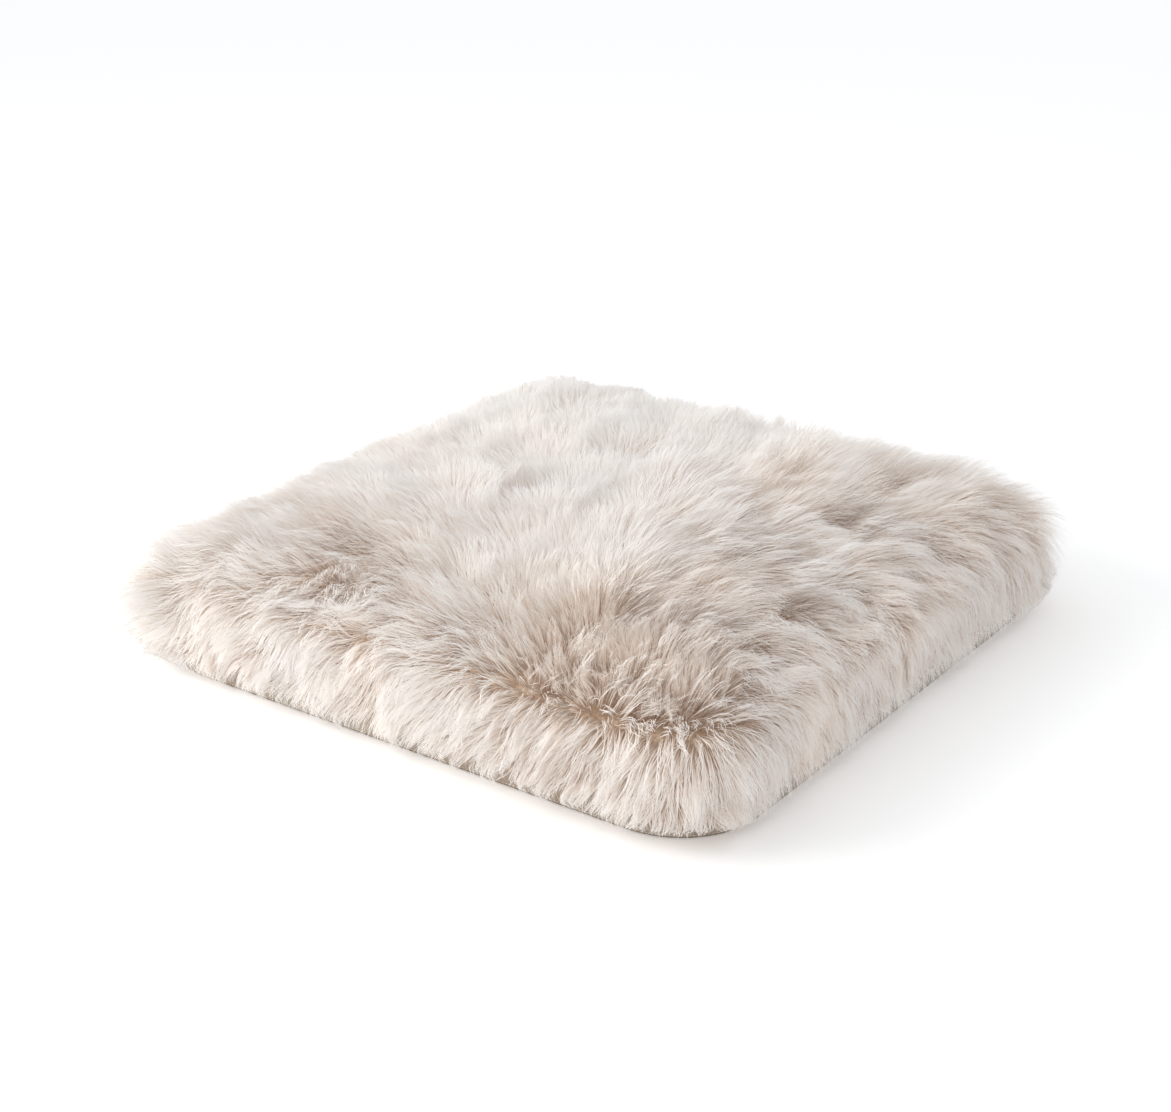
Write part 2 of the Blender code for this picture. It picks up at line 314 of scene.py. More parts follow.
@dataclass(frozen=True)
class Finish:
    """A surface finish that is made into a material once and then shared."""

    name: str
    roughness: float = 0.8

    def material(self) -> bpy.types.Material:
        """Make the finish's material on first use.

        Returns:
            The material.
        """
        found = bpy.data.materials.get(self.name)
        if found:
            return found
        made = bpy.data.materials.new(self.name)
        made.use_nodes = True
        shader = made.node_tree.nodes["Principled BSDF"]
        shader.inputs["Roughness"].default_value = self.roughness
        made.cycles.emission_sampling = "NONE"
        self.paint(Nodes(made.node_tree), shader)
        return made

    def paint(self, nodes: Nodes, shader: bpy.types.Node) -> None:
        """Build the nodes that feed the shader."""
        raise NotImplementedError

    def emboss(self, nodes: Nodes, shader: bpy.types.Node, height: bpy.types.NodeSocket,
               strength: float, relief: float) -> None:
        """Raise the surface.

        Args:
            nodes: The material's nodes.
            shader: Its shader.
            height: Where the surface is high.
            strength: How much of the relief shows.
            relief: How deep it is.
        """
        bump = nodes.add("ShaderNodeBump", Strength=strength, Distance=relief, Height=height)
        nodes.fill(shader.inputs["Normal"], bump.outputs["Normal"])


@dataclass(frozen=True)
class WoolFinish(Finish):
    """Wool locks: warm at the root, pale at the tip, from cream to tan across the map; the dark roots are
    partly the wool's own tone and partly painted shade deep in the pile, and a painted glow fills the shade
    between the locks.
    """

    roughness: float = 0.62
    sheen: float = 0.25

    def paint(self, nodes: Nodes, shader: bpy.types.Node) -> None:
        """Colour each strand by its tint along the map and its length up the map.

        Args:
            nodes: The material's nodes.
            shader: Its shader.
        """
        place = nodes.add("ShaderNodeUVMap", uv_map=WOOL_MAP).outputs["UV"]
        split = nodes.add("ShaderNodeSeparateXYZ", input_0=place)
        tint, along = split.outputs["X"], split.outputs["Y"]
        # The colour darkens towards the root, partly as the wool's own warm tone and partly as painted shade
        # deep in the pile.
        cream = nodes.ramp(along, [(0.0, (0.42, 0.315, 0.235)), (0.28, (0.66, 0.590, 0.530)),
                                   (0.55, (0.755, 0.732, 0.708)), (1.0, (0.768, 0.757, 0.750))])
        tan = nodes.ramp(along, [(0.0, (0.38, 0.260, 0.180)), (0.28, (0.61, 0.510, 0.425)),
                                 (0.65, (0.738, 0.685, 0.630)), (1.0, (0.760, 0.722, 0.690))])
        nodes.fill(shader.inputs["Base Color"], nodes.mix(tint, cream, tan))
        # Painted light: the wool glows a little along each strand, from cream to tan across the map, to fill
        # the shade between the locks as if light scattered through the fleece.
        glow = nodes.ramp(along, [(0.0, (0.050, 0.039, 0.033)), (0.35, (0.088, 0.077, 0.070)),
                                  (0.70, (0.118, 0.111, 0.106)), (1.0, (0.092, 0.087, 0.085))])
        warm = nodes.ramp(along, [(0.0, (0.080, 0.060, 0.047)), (0.35, (0.165, 0.138, 0.118)),
                                  (0.70, (0.215, 0.191, 0.173)), (1.0, (0.165, 0.150, 0.139))])
        nodes.fill(shader.inputs["Emission Color"], nodes.mix(tint, glow, warm))
        shader.inputs["Emission Strength"].default_value = 1.0
        shader.inputs["Sheen Weight"].default_value = self.sheen
        shader.inputs["Sheen Roughness"].default_value = 0.5
        shader.inputs["Specular IOR Level"].default_value = 0.25


@dataclass(frozen=True)
class HideFinish(Finish):
    """Skin side and dense underwool between the locks, in a mottled tan that is partly their own colour and
    partly painted shade for the gaps of the pile.
    """

    roughness: float = 0.9

    def paint(self, nodes: Nodes, shader: bpy.types.Node) -> None:
        """Mottle the colour and roughen the surface.

        Args:
            nodes: The material's nodes.
            shader: Its shader.
        """
        place = nodes.add("ShaderNodeTexCoord").outputs["Object"]
        broad = nodes.add("ShaderNodeTexNoise", Vector=place, Scale=16.0, Detail=4.0)
        fine = nodes.add("ShaderNodeTexNoise", Vector=place, Scale=420.0, Detail=3.0)
        # Painted shade: the saturated tan shows in the gaps between the locks as the warm shade deep in the
        # pile.
        color = nodes.ramp(broad.outputs["Fac"], [(0.3, (0.58, 0.40, 0.27)), (0.7, (0.74, 0.58, 0.44))])
        nodes.fill(shader.inputs["Base Color"], color)
        self.emboss(nodes, shader, fine.outputs["Fac"], 0.6, 0.003)


class Patterns:
    """Shader node groups that more than one finish uses, each built once."""

    @staticmethod
    def begin(name: str, inputs: dict[str, str], outputs: tuple[str, ...]) -> tuple:
        """Start a group.

        Args:
            name: Name of the group.
            inputs: Socket kind of each input, by name.
            outputs: Names of the outputs, which are all values.

        Returns:
            The group, its nodes, its input node and its output node.
        """
        tree = bpy.data.node_groups.new(name, "ShaderNodeTree")
        for socket, kind in inputs.items():
            tree.interface.new_socket(socket, in_out="INPUT", socket_type=kind)
        for socket in outputs:
            tree.interface.new_socket(socket, in_out="OUTPUT", socket_type="NodeSocketFloat")
        nodes = Nodes(tree)
        return tree, nodes, nodes.add("NodeGroupInput"), nodes.add("NodeGroupOutput")

    @classmethod
    def weave(cls) -> bpy.types.NodeTree:
        """Threads of a plain weave, with slubs, as a height and a tint from 0 to 1.

        Returns:
            The group.
        """
        found = bpy.data.node_groups.get("weave")
        if found:
            return found
        tree, nodes, given, made = cls.begin(
            "weave", {"Place": "NodeSocketVector", "Threads": "NodeSocketFloat", "Slub": "NodeSocketFloat"},
            ("Height", "Tint"))
        slub = nodes.add("ShaderNodeTexNoise", Vector=given.outputs["Place"], Scale=900.0, Detail=2.0)
        split = nodes.add("ShaderNodeSeparateXYZ", input_0=given.outputs["Place"])
        waves = []
        for axis in ("X", "Y"):
            slant = nodes.math("MULTIPLY_ADD", split.outputs["Z"], 0.5, split.outputs[axis])
            turns = nodes.math("MULTIPLY", slant, given.outputs["Threads"])
            waves.append(nodes.math("SINE", nodes.math("MULTIPLY", turns, 2 * math.pi)))
        cross = nodes.math("MULTIPLY", waves[0], waves[1])
        height = nodes.math("MULTIPLY_ADD", cross, 0.5, 0.5)
        uneven = nodes.math("MULTIPLY", slub.outputs["Fac"], given.outputs["Slub"])
        tree.links.new(nodes.math("ADD", height, uneven), made.inputs["Height"])
        tree.links.new(nodes.math("MULTIPLY_ADD", uneven, 0.6, nodes.math("MULTIPLY", height, 0.4)),
                       made.inputs["Tint"])
        return tree

    @classmethod
    def mottle(cls) -> bpy.types.NodeTree:
        """Broad and fine unevenness mixed, from 0 to 1.

        Returns:
            The group.
        """
        found = bpy.data.node_groups.get("mottle")
        if found:
            return found
        tree, nodes, given, made = cls.begin(
            "mottle", {"Place": "NodeSocketVector", "Broad": "NodeSocketFloat", "Fine": "NodeSocketFloat"},
            ("Share", "Height"))
        broad = nodes.add("ShaderNodeTexNoise", Vector=given.outputs["Place"], Detail=3.0)
        fine = nodes.add("ShaderNodeTexNoise", Vector=given.outputs["Place"], Detail=2.0)
        tree.links.new(given.outputs["Broad"], broad.inputs["Scale"])
        tree.links.new(given.outputs["Fine"], fine.inputs["Scale"])
        share = nodes.math("MULTIPLY_ADD", broad.outputs["Fac"], 0.65,
                           nodes.math("MULTIPLY", fine.outputs["Fac"], 0.35))
        tree.links.new(share, made.inputs["Share"])
        tree.links.new(fine.outputs["Fac"], made.inputs["Height"])
        return tree


@dataclass(frozen=True)
class ClothFinish(Finish):
    """Woven cloth: a plain weave at its real thread count, between two tints."""

    roughness: float = 0.9
    dark: tuple = (0.52, 0.46, 0.38)
    light: tuple = (0.74, 0.68, 0.60)
    threads: float = 700.0
    slub: float = 0.6
    relief: float = 0.0003

    def paint(self, nodes: Nodes, shader: bpy.types.Node) -> None:
        """Tint and emboss the threads.

        Args:
            nodes: The material's nodes.
            shader: Its shader.
        """
        place = nodes.add("ShaderNodeTexCoord").outputs["Object"]
        weave = nodes.group(Patterns.weave(), Place=place, Threads=self.threads, Slub=self.slub)
        mottle = nodes.group(Patterns.mottle(), Place=place, Broad=14.0, Fine=240.0)
        share = nodes.math("MULTIPLY_ADD", mottle.outputs["Share"], 0.5,
                           nodes.math("MULTIPLY", weave.outputs["Tint"], 0.6))
        nodes.fill(shader.inputs["Base Color"], nodes.ramp(share, [(0.25, self.dark), (0.75, self.light)]))
        self.emboss(nodes, shader, weave.outputs["Height"], 0.7, self.relief)
        shader.inputs["Sheen Weight"].default_value = 0.1


@dataclass(frozen=True)
class FillingFinish(Finish):
    """Loose or foamed filling: mottled, with an uneven surface of fibres or cells."""

    roughness: float = 0.95
    dark: tuple = (0.80, 0.79, 0.76)
    light: tuple = (0.93, 0.92, 0.90)
    grain: float = 260.0
    relief: float = 0.002

    def paint(self, nodes: Nodes, shader: bpy.types.Node) -> None:
        """Mottle the colour and raise the fibres or cells.

        Args:
            nodes: The material's nodes.
            shader: Its shader.
        """
        place = nodes.add("ShaderNodeTexCoord").outputs["Object"]
        mottle = nodes.group(Patterns.mottle(), Place=place, Broad=20.0, Fine=self.grain)
        share = mottle.outputs["Share"]
        nodes.fill(shader.inputs["Base Color"], nodes.ramp(share, [(0.3, self.dark), (0.7, self.light)]))
        self.emboss(nodes, shader, mottle.outputs["Height"], 0.8, self.relief)


@dataclass(frozen=True)
class HardFinish(Finish):
    """Cast metal or moulded nylon, with a slightly uneven sheen."""

    roughness: float = 0.35
    dark: tuple = (0.45, 0.42, 0.37)
    light: tuple = (0.62, 0.59, 0.53)
    metallic: float = 1.0

    def paint(self, nodes: Nodes, shader: bpy.types.Node) -> None:
        """Vary the colour and the roughness a little.

        Args:
            nodes: The material's nodes.
            shader: Its shader.
        """
        place = nodes.add("ShaderNodeTexCoord").outputs["Object"]
        mottle = nodes.group(Patterns.mottle(), Place=place, Broad=180.0, Fine=1400.0)
        share = mottle.outputs["Share"]
        nodes.fill(shader.inputs["Base Color"], nodes.ramp(share, [(0.3, self.dark), (0.7, self.light)]))
        rough = nodes.math("MULTIPLY_ADD", share, 0.3, self.roughness - 0.15)
        nodes.fill(shader.inputs["Roughness"], rough)
        shader.inputs["Metallic"].default_value = self.metallic


CANVAS = ClothFinish("canvas_cloth", dark=(0.30, 0.235, 0.18), light=(0.47, 0.39, 0.31), threads=620.0)
WEBBING = ClothFinish("webbing_cloth", dark=(0.60, 0.56, 0.49), light=(0.80, 0.76, 0.69), threads=420.0)
ZIP_TAPE = ClothFinish("zip_tape_cloth", dark=(0.40, 0.33, 0.26), light=(0.58, 0.50, 0.42), threads=900.0)
TICKING = ClothFinish("ticking_cloth", dark=(0.74, 0.71, 0.66), light=(0.90, 0.88, 0.84), threads=1200.0)
LABEL = ClothFinish("label_cloth", dark=(0.84, 0.83, 0.80), light=(0.95, 0.94, 0.92), threads=1500.0)
THREAD = ClothFinish("sewing_thread", dark=(0.66, 0.61, 0.53), light=(0.86, 0.82, 0.75), threads=1800.0)
FIBRE = FillingFinish("wadding_fibre")
FOAM = FillingFinish("foam_cells", dark=(0.72, 0.66, 0.46), light=(0.84, 0.79, 0.60), grain=900.0,
                     relief=0.0006)
NYLON = HardFinish("coil_nylon", dark=(0.56, 0.51, 0.44), light=(0.66, 0.61, 0.53), metallic=0.0)
METAL = HardFinish("zinc")
CARRIED_OVER = {"canvas": CANVAS, "webbing": WEBBING, "ticking": TICKING, "fibre": FIBRE, "foam": FOAM,
                "label": LABEL, "nylon": NYLON, "metal": METAL}


@dataclass(frozen=True)
class FloorFinish(Finish):
    """Plain pale floor."""

    roughness: float = 0.9
    color: tuple = (0.93, 0.93, 0.93)
    glow: float = 0.21

    def paint(self, nodes: Nodes, shader: bpy.types.Node) -> None:
        """Set one colour.

        Args:
            nodes: The material's nodes.
            shader: Its shader.
        """
        shader.inputs["Base Color"].default_value = (*self.color, 1.0)
        shader.inputs["Specular IOR Level"].default_value = 0.0
        shader.inputs["Emission Color"].default_value = (1.0, 1.0, 1.0, 1.0)
        shader.inputs["Emission Strength"].default_value = self.glow


# --- Form --------------------------------------------------------------------------------------


@dataclass
class Form:
    """The stuffed form of the cover, as a rounded block under a dome, for the wool to follow."""

    half: float = field(default_factory=lambda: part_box("base_panel")[1][0])
    radius: float = 0.075
    seam_height: float = field(default_factory=lambda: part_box("liner_wall_front")[1][2])
    base_height: float = field(default_factory=lambda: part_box("base_band_front")[1][2])
    crown: float = field(default_factory=lambda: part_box("liner_top")[1][2])
    fullness: float = 2.6
    roll: float = 0.062
    ease: float = 0.035
    blend: float = 0.03
    slope_step: float = 0.004

    def plan(self, points: np.ndarray) -> tuple[np.ndarray, np.ndarray]:
        """Measure from the rounded plan of the cover.

        Args:
            points: Places in the frame.

        Returns:
            How far each place is outside the plan, and the way out.
        """
        spread = self.radius + self.ease
        inner = self.half - spread
        away = np.abs(points[:, :2]) - inner
        beyond = np.maximum(away, 0)
        length = np.linalg.norm(beyond, axis=1)
        distance = length + np.minimum(away.max(1), 0) - spread
        share = np.clip(away / self.blend, -30, 20)
        blunt = np.exp(share - share.max(1, keepdims=True))
        way = np.where(length[:, None] > 1e-4, beyond, blunt)
        return distance, unit(np.sign(points[:, :2]) * way)

    def dome(self, distance: np.ndarray) -> np.ndarray:
        """Height of the dome at a distance outside the plan."""
        inward = np.clip(-distance / self.half, 0, 1)
        return self.seam_height + (self.crown - self.seam_height) * (1 - (1 - inward) ** self.fullness)

    def edge(self, distance: np.ndarray, points: np.ndarray) -> tuple[np.ndarray, np.ndarray]:
        """Measure from the axis that the form's edge is rolled round.

        Args:
            distance: How far each place is outside the plan.
            points: Places in the frame.

        Returns:
            How far each place is beyond the axis, and above it, or 0.
        """
        over = np.maximum(distance + self.roll, 0)
        return over, np.maximum(points[:, 2] - self.dome(distance) + self.roll, 0)

    def height(self, points: np.ndarray) -> np.ndarray:
        """Height of each place above the form."""
        return np.hypot(*self.edge(self.plan(points)[0], points)) - self.roll

    def outward(self, points: np.ndarray) -> np.ndarray:
        """Say which way is out of the form, turning smoothly over its edge.

        Args:
            points: Places on or above the form.

        Returns:
            Unit vectors.
        """
        distance, way = self.plan(points)
        step = self.slope_step
        slope = (self.dome(distance + step) - self.dome(distance - step)) / (2 * step)
        over, above = self.edge(distance, points)
        over = np.where((over == 0) & (above == 0), 1.0, over)
        out = np.empty_like(points)
        out[:, :2] = way * (over - slope * above)[:, None]
        out[:, 2] = above
        return unit(out)


# --- Grooming ----------------------------------------------------------------------------------


class Comb(Enum):
    """What a stroke of the comb does to the wool round it."""

    SPREAD = "spread"
    STROKE = "stroke"
    RUFFLE = "ruffle"


@dataclass(frozen=True)
class Stroke:
    """One stroke of the comb, or one whorl that the wool spreads out from.

    Sizes are metres. heading is in degrees, anticlockwise from +X, and is read by STROKE only.
    """

    x: float
    y: float
    reach: float
    heading: float = 0.0
    kind: Comb = Comb.STROKE
    strength: float = 1.0
    curl: float = 0.0
    tan: float = 0.0
    lift: float = 0.0


# Curly patches, where short tufts stand up over tan down: x, y, reach, strength, curl, tan, lift.
RUFFLES = (
    (0.130, -0.285, 0.034, 0.5, 0.75, 0.60, 0.5), (0.170, -0.360, 0.044, 0.5, 0.90, 0.55, 0.6),
    (0.190, -0.340, 0.095, 0.5, 0.55, 0.30, 0.7), (-0.150, -0.380, 0.120, 0.3, 0.20, 0.05, 0.2),
    (0.235, -0.425, 0.044, 0.5, 0.85, 0.55, 0.5), (0.285, -0.345, 0.040, 0.5, 0.85, 0.55, 0.5),
    (0.340, -0.330, 0.026, 0.5, 0.90, 0.75, 0.5), (0.380, -0.430, 0.042, 0.5, 0.80, 0.55, 0.4),
    (0.116, 0.200, 0.030, 0.5, 0.60, 0.55, 0.4), (0.155, 0.125, 0.036, 0.3, 0.30, 0.35, 0.3),
    (-0.060, -0.440, 0.034, 0.5, 0.75, 0.55, 0.4), (-0.270, -0.440, 0.036, 0.3, 0.30, 0.50, 0.2),
    (0.000, -0.335, 0.045, 0.2, 0.10, 0.40, 0.2),
)
# Small partings, where the roots show: x, y, reach, strength, curl, tan.
PARTINGS = (
    (0.240, -0.190, 0.019, 0.8, 0.3, 0.75), (0.210, -0.108, 0.012, 0.9, 0.0, 0.80),
    (0.260, -0.075, 0.013, 0.9, 0.0, 0.90), (0.100, -0.035, 0.011, 0.7, 0.0, 0.70),
    (0.195, 0.060, 0.012, 0.8, 0.0, 0.70), (0.330, 0.014, 0.011, 0.7, 0.0, 0.60),
    (0.385, 0.067, 0.013, 0.8, 0.0, 0.70), (0.376, 0.205, 0.012, 0.9, 0.0, 0.80),
    (0.374, -0.140, 0.013, 0.8, 0.0, 0.65), (0.410, -0.215, 0.014, 0.8, 0.0, 0.55),
    (0.328, -0.241, 0.014, 0.8, 0.0, 0.65), (0.420, -0.420, 0.020, 0.9, 0.3, 0.80),
    (-0.165, -0.350, 0.020, 0.7, 0.0, 0.50), (-0.215, -0.265, 0.017, 0.7, 0.0, 0.50),
    (-0.030, -0.400, 0.012, 0.7, 0.0, 0.60), (0.055, -0.430, 0.014, 0.7, 0.0, 0.50),
    (-0.100, 0.050, 0.012, 0.7, 0.0, 0.40),
)
# Long strokes of the comb: x, y, reach, heading, strength, lift.
COMBINGS = (
    (0.050, -0.400, 0.055, 222, 0.9, 0.0), (0.050, -0.200, 0.110, 140, 1.0, 0.55),
    (-0.120, -0.330, 0.050, 310, 1.3, 0.0), (-0.300, -0.340, 0.110, 215, 1.3, 0.25),
    (-0.380, -0.100, 0.120, 185, 1.1, 0.25), (-0.150, -0.050, 0.140, 140, 0.9, 0.45),
    (-0.150, 0.250, 0.160, 118, 1.0, 0.35), (0.060, 0.330, 0.120, 80, 0.9, 0.45),
    (0.260, 0.380, 0.110, 50, 0.8, 0.55), (0.250, -0.020, 0.120, 12, 1.3, 0.0),
    (0.380, -0.200, 0.110, 4, 1.4, 0.0), (0.370, 0.230, 0.110, -18, 1.3, 0.0),
    (0.220, 0.250, 0.080, 25, 1.0, 0.0),
)


# Swirls of the flow: where they are, their wavelength, their seed and their strength in radians.
SWIRLS = (("everywhere", 0.15, 1, 0.42), ("everywhere", 0.055, 2, 0.40), ("steep", 0.045, 12, 0.50),
          ("curly", 0.028, 7, 1.5), ("near", 0.036, 13, 0.32))
# What each trait of a place adds to a strand's length, as a share.
LENGTHEN = {"curl": 0.04, "corner": 0.26, "tip": 0.85, "wall": -0.20}
# What each trait adds to how steeply a strand stands at its root and at its tip, in degrees.
ROOT_LIFT = {"puff": 4, "lifted": 8, "curl": 12, "rim": -14, "low": -22}
TIP_LIFT = {"puff": 8, "lifted": 26, "curl": 34, "wall": 2, "corner": 22, "rim": -8, "low": -14}


def add_traits(start: float, shares: dict[str, float], traits: dict[str, np.ndarray]) -> np.ndarray:
    """Add what each trait does to a start value."""
    return sum((share * traits[name] for name, share in shares.items()), start)


@dataclass
class Groom:
    """How the wool lies: its flow over the hide, and its curl, tint and lift from place to place."""

    strokes: tuple[Stroke, ...] = (
        *(Stroke(x, y, reach, 0.0, Comb.RUFFLE, *traits) for x, y, reach, *traits in RUFFLES),
        *(Stroke(x, y, reach, 0.0, Comb.SPREAD, *traits) for x, y, reach, *traits in PARTINGS),
        *(Stroke(x, y, reach, heading, Comb.STROKE, strength, lift=lift)
          for x, y, reach, heading, strength, lift in COMBINGS),
    )
    outward: float = 0.35

    def weights(self, points: np.ndarray) -> np.ndarray:
        """Weigh every stroke at every place.

        Args:
            points: Places in the frame.

        Returns:
            One row for each place and one column for each stroke.
        """
        columns = []
        for stroke in self.strokes:
            away = np.hypot(points[:, 0] - stroke.x, points[:, 1] - stroke.y) / stroke.reach
            columns.append(stroke.strength * np.exp(-0.5 * away**2))
        return np.stack(columns, 1)

    def flow(self, points: np.ndarray, normals: np.ndarray, curl: np.ndarray) -> np.ndarray:
        """Say which way the wool lies along the hide.

        Args:
            points: Root places.
            normals: The hide's outward normals there.
            curl: How curly the wool is there.

        Returns:
            Unit vectors along the hide.
        """
        weights = self.weights(points)
        total = np.zeros_like(points)
        for column, stroke in enumerate(self.strokes):
            share = weights[:, column : column + 1]
            if stroke.kind is Comb.RUFFLE:
                continue
            if stroke.kind is Comb.SPREAD:
                away = points[:, :2] - np.array([stroke.x, stroke.y])
                total[:, :2] += share * away / (np.linalg.norm(away, axis=1, keepdims=True) + 0.006)
            else:
                turn = math.radians(stroke.heading)
                total[:, :2] += share * np.array([math.cos(turn), math.sin(turn)])
        total[:, :2] += self.outward * points[:, :2] / 0.4
        where = {
            "everywhere": np.ones(len(points)),
            "steep": smooth(0.3, 0.9, 1 - normals[:, 2]),
            "curly": curl,
            "near": smooth(0.05, 0.30, points[:, 0]) * smooth(0.2, -0.1, points[:, 1]),
        }
        swirl = sum(strength * where[name] * Ripples(wavelength, SEED + seed).read(points)
                    for name, wavelength, seed, strength in SWIRLS)
        total = unit(total)
        wall = smooth(0.35, 0.8, 1 - np.abs(normals[:, 2]))[:, None]
        total = (1 - 0.6 * wall) * total + wall * np.array([0.0, 0.0, -0.85])
        total[:, :1] -= 0.45 * wall * smooth(0.3, 0.9, -normals[:, 1:2])
        total -= (total * normals).sum(1, keepdims=True) * normals
        total = unit(total)
        side = np.cross(normals, total)
        swirl = swirl[:, None]
        return unit(np.cos(swirl) * total + np.sin(swirl) * side)

    def blend(self, points: np.ndarray, names: tuple[str, ...]) -> list[np.ndarray]:
        """Read the strokes' traits at each place.

        Args:
            points: Places in the frame.
            names: Traits to read, such as "curl".

        Returns:
            One array for each trait.
        """
        shares = np.minimum(self.weights(points) / np.array([s.strength for s in self.strokes]), 1)
        found = []
        for name in names:
            trait = np.array([getattr(stroke, name) for stroke in self.strokes])
            found.append(1 - np.prod(1 - shares * trait, axis=1))
        return found


# --- Hide --------------------------------------------------------------------------------------


@dataclass
class Hide:
    """The sheepskin of the cover: a cushion stuffed by cloth simulation, which the wool grows from."""

    form: Form
    voxel: float = 0.009
    pressure: float = 4.0
    frames: int = 20
    swell: float = 0.009
    lump: float = 0.004
    corner_steps: int = 8
    edge_steps: int = 24
    lump_size: float = 0.12
    puff: float = 0.6
    rise: float = 0.004
    hold_height: float = 0.02

    def outline(self, offset: float) -> list[Vector]:
        """Lay points round the cover's rounded plan.

        Args:
            offset: How far outside the plan they lie.

        Returns:
            The points, anticlockwise.
        """
        radius = self.form.radius * math.exp(offset / self.form.radius)
        reach = self.form.half + offset - radius
        points = []
        for corner in range(4):
            start = math.radians(90 * corner)
            turn = Vector((math.cos(start), math.sin(start), 0))
            after = Vector((-turn.y, turn.x, 0))
            centre = (turn + after) * reach
            for step in range(self.corner_steps + 1):
                angle = math.pi / 2 * step / self.corner_steps
                points.append(centre + radius * (math.cos(angle) * turn + math.sin(angle) * after))
            for step in range(1, self.edge_steps):
                points.append(centre + radius * after - turn * (2 * reach * step / self.edge_steps))
        return points

    def section(self) -> list[tuple[float, float]]:
        """Draw the section of the cushion before it is stuffed.

        Returns:
            Offset from the plan and height of each ring, up from the base.
        """
        form = self.form
        wall = form.seam_height - form.base_height
        stations = [(-0.02, form.base_height - 0.003)]
        for share in (0.03, 0.25, 0.5, 0.75, 0.97):
            stations.append((-0.004, form.base_height + wall * share))
        for inward in (0.05, 0.12, 0.20, 0.30, 0.42, 0.56, 0.72, 0.92):
            height = float(form.dome(np.array([-inward * form.half]))[0]) - 0.003
            stations.append((-inward * form.half, height))
        return stations

    def loft(self, stations: list[tuple[float, float]]) -> bmesh.types.BMesh:
        """Loft a closed form through rings that follow the plan.

        Args:
            stations: Offset from the plan and height of each ring, upwards.

        Returns:
            The form.
        """
        mesh = bmesh.new()
        rings = [[mesh.verts.new(point + Vector((0, 0, height))) for point in self.outline(offset)]
                 for offset, height in stations]
        for lower, upper in zip(rings, rings[1:]):
            for this, _ in enumerate(lower):
                after = (this + 1) % len(lower)
                mesh.faces.new((lower[this], lower[after], upper[after], upper[this]))
        mesh.faces.new(rings[0][::-1])
        mesh.faces.new(rings[-1])
        bmesh.ops.recalc_face_normals(mesh, faces=mesh.faces)
        return mesh

    def stuff(self, cushion: bpy.types.Object) -> None:
        """Stuff the cushion: inflate it as cloth, and cap how far it swells.

        Args:
            cushion: The lofted cushion, changed in place.
        """
        remesh = cushion.modifiers.new("voxels", "REMESH")
        remesh.mode = "VOXEL"
        remesh.voxel_size = self.voxel
        graph = bpy.context.evaluated_depsgraph_get()
        cushion.data = bpy.data.meshes.new_from_object(cushion.evaluated_get(graph))
        cushion.modifiers.clear()
        rest = read_vertices(cushion.data)
        cloth = cushion.modifiers.new("cloth", "CLOTH")
        cloth.settings.use_pressure = True
        cloth.settings.uniform_pressure_force = self.pressure
        cloth.settings.effector_weights.gravity = 0
        cloth.settings.quality = 4
        scene = bpy.context.scene
        for frame_number in range(1, self.frames + 1):
            scene.frame_set(frame_number)
        graph = bpy.context.evaluated_depsgraph_get()
        cushion.data = bpy.data.meshes.new_from_object(cushion.evaluated_get(graph))
        cushion.modifiers.clear()
        scene.frame_set(1)
        places = read_vertices(cushion.data)
        move = places - rest
        length = np.linalg.norm(move, axis=1, keepdims=True)
        move *= np.minimum(1, self.swell / np.maximum(length, TINY))
        base = self.form.base_height
        hold = smooth(base, base + self.hold_height, rest[:, 2])[:, None]
        out = self.form.outward(rest)
        lumps = Ripples(self.lump_size, SEED + 3).read(rest)[:, None] * self.lump
        places = rest + hold * (move * self.puff + out * (lumps + self.rise))
        cushion.data.vertices.foreach_set("co", places.reshape(-1).astype(np.float32))
        cushion.data.update()
        cushion.data.shade_smooth()

    def build(self) -> bpy.types.Object:
        """Make the stuffed cushion that the wool grows from.

        Returns:
            The closed cushion.
        """
        name = "stuffed_hide"
        cushion = add_object(name, take_mesh(name, self.loft(self.section())))
        self.stuff(cushion)
        cushion.data.materials.clear()
        cushion.data.materials.append(HideFinish("hide").material())
        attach(cushion, COVER)
        return cushion


# --- Wool --------------------------------------------------------------------------------------


@dataclass
class Strands:
    """Paths of many strands: one row for each strand, one column for each joint along it."""

    paths: np.ndarray
    facing: np.ndarray
    tint: np.ndarray
    width: np.ndarray

    def take(self, chosen: np.ndarray) -> "Strands":
        """Return the chosen strands only."""
        return Strands(self.paths[chosen], self.facing[chosen], self.tint[chosen], self.width[chosen])


@dataclass(frozen=True)
class Coat:
    """One coat of wool: how dense, how long and how fine it is."""

    spacing: float
    joints: int
    length: float
    width: float
    stray: float
    tan: float


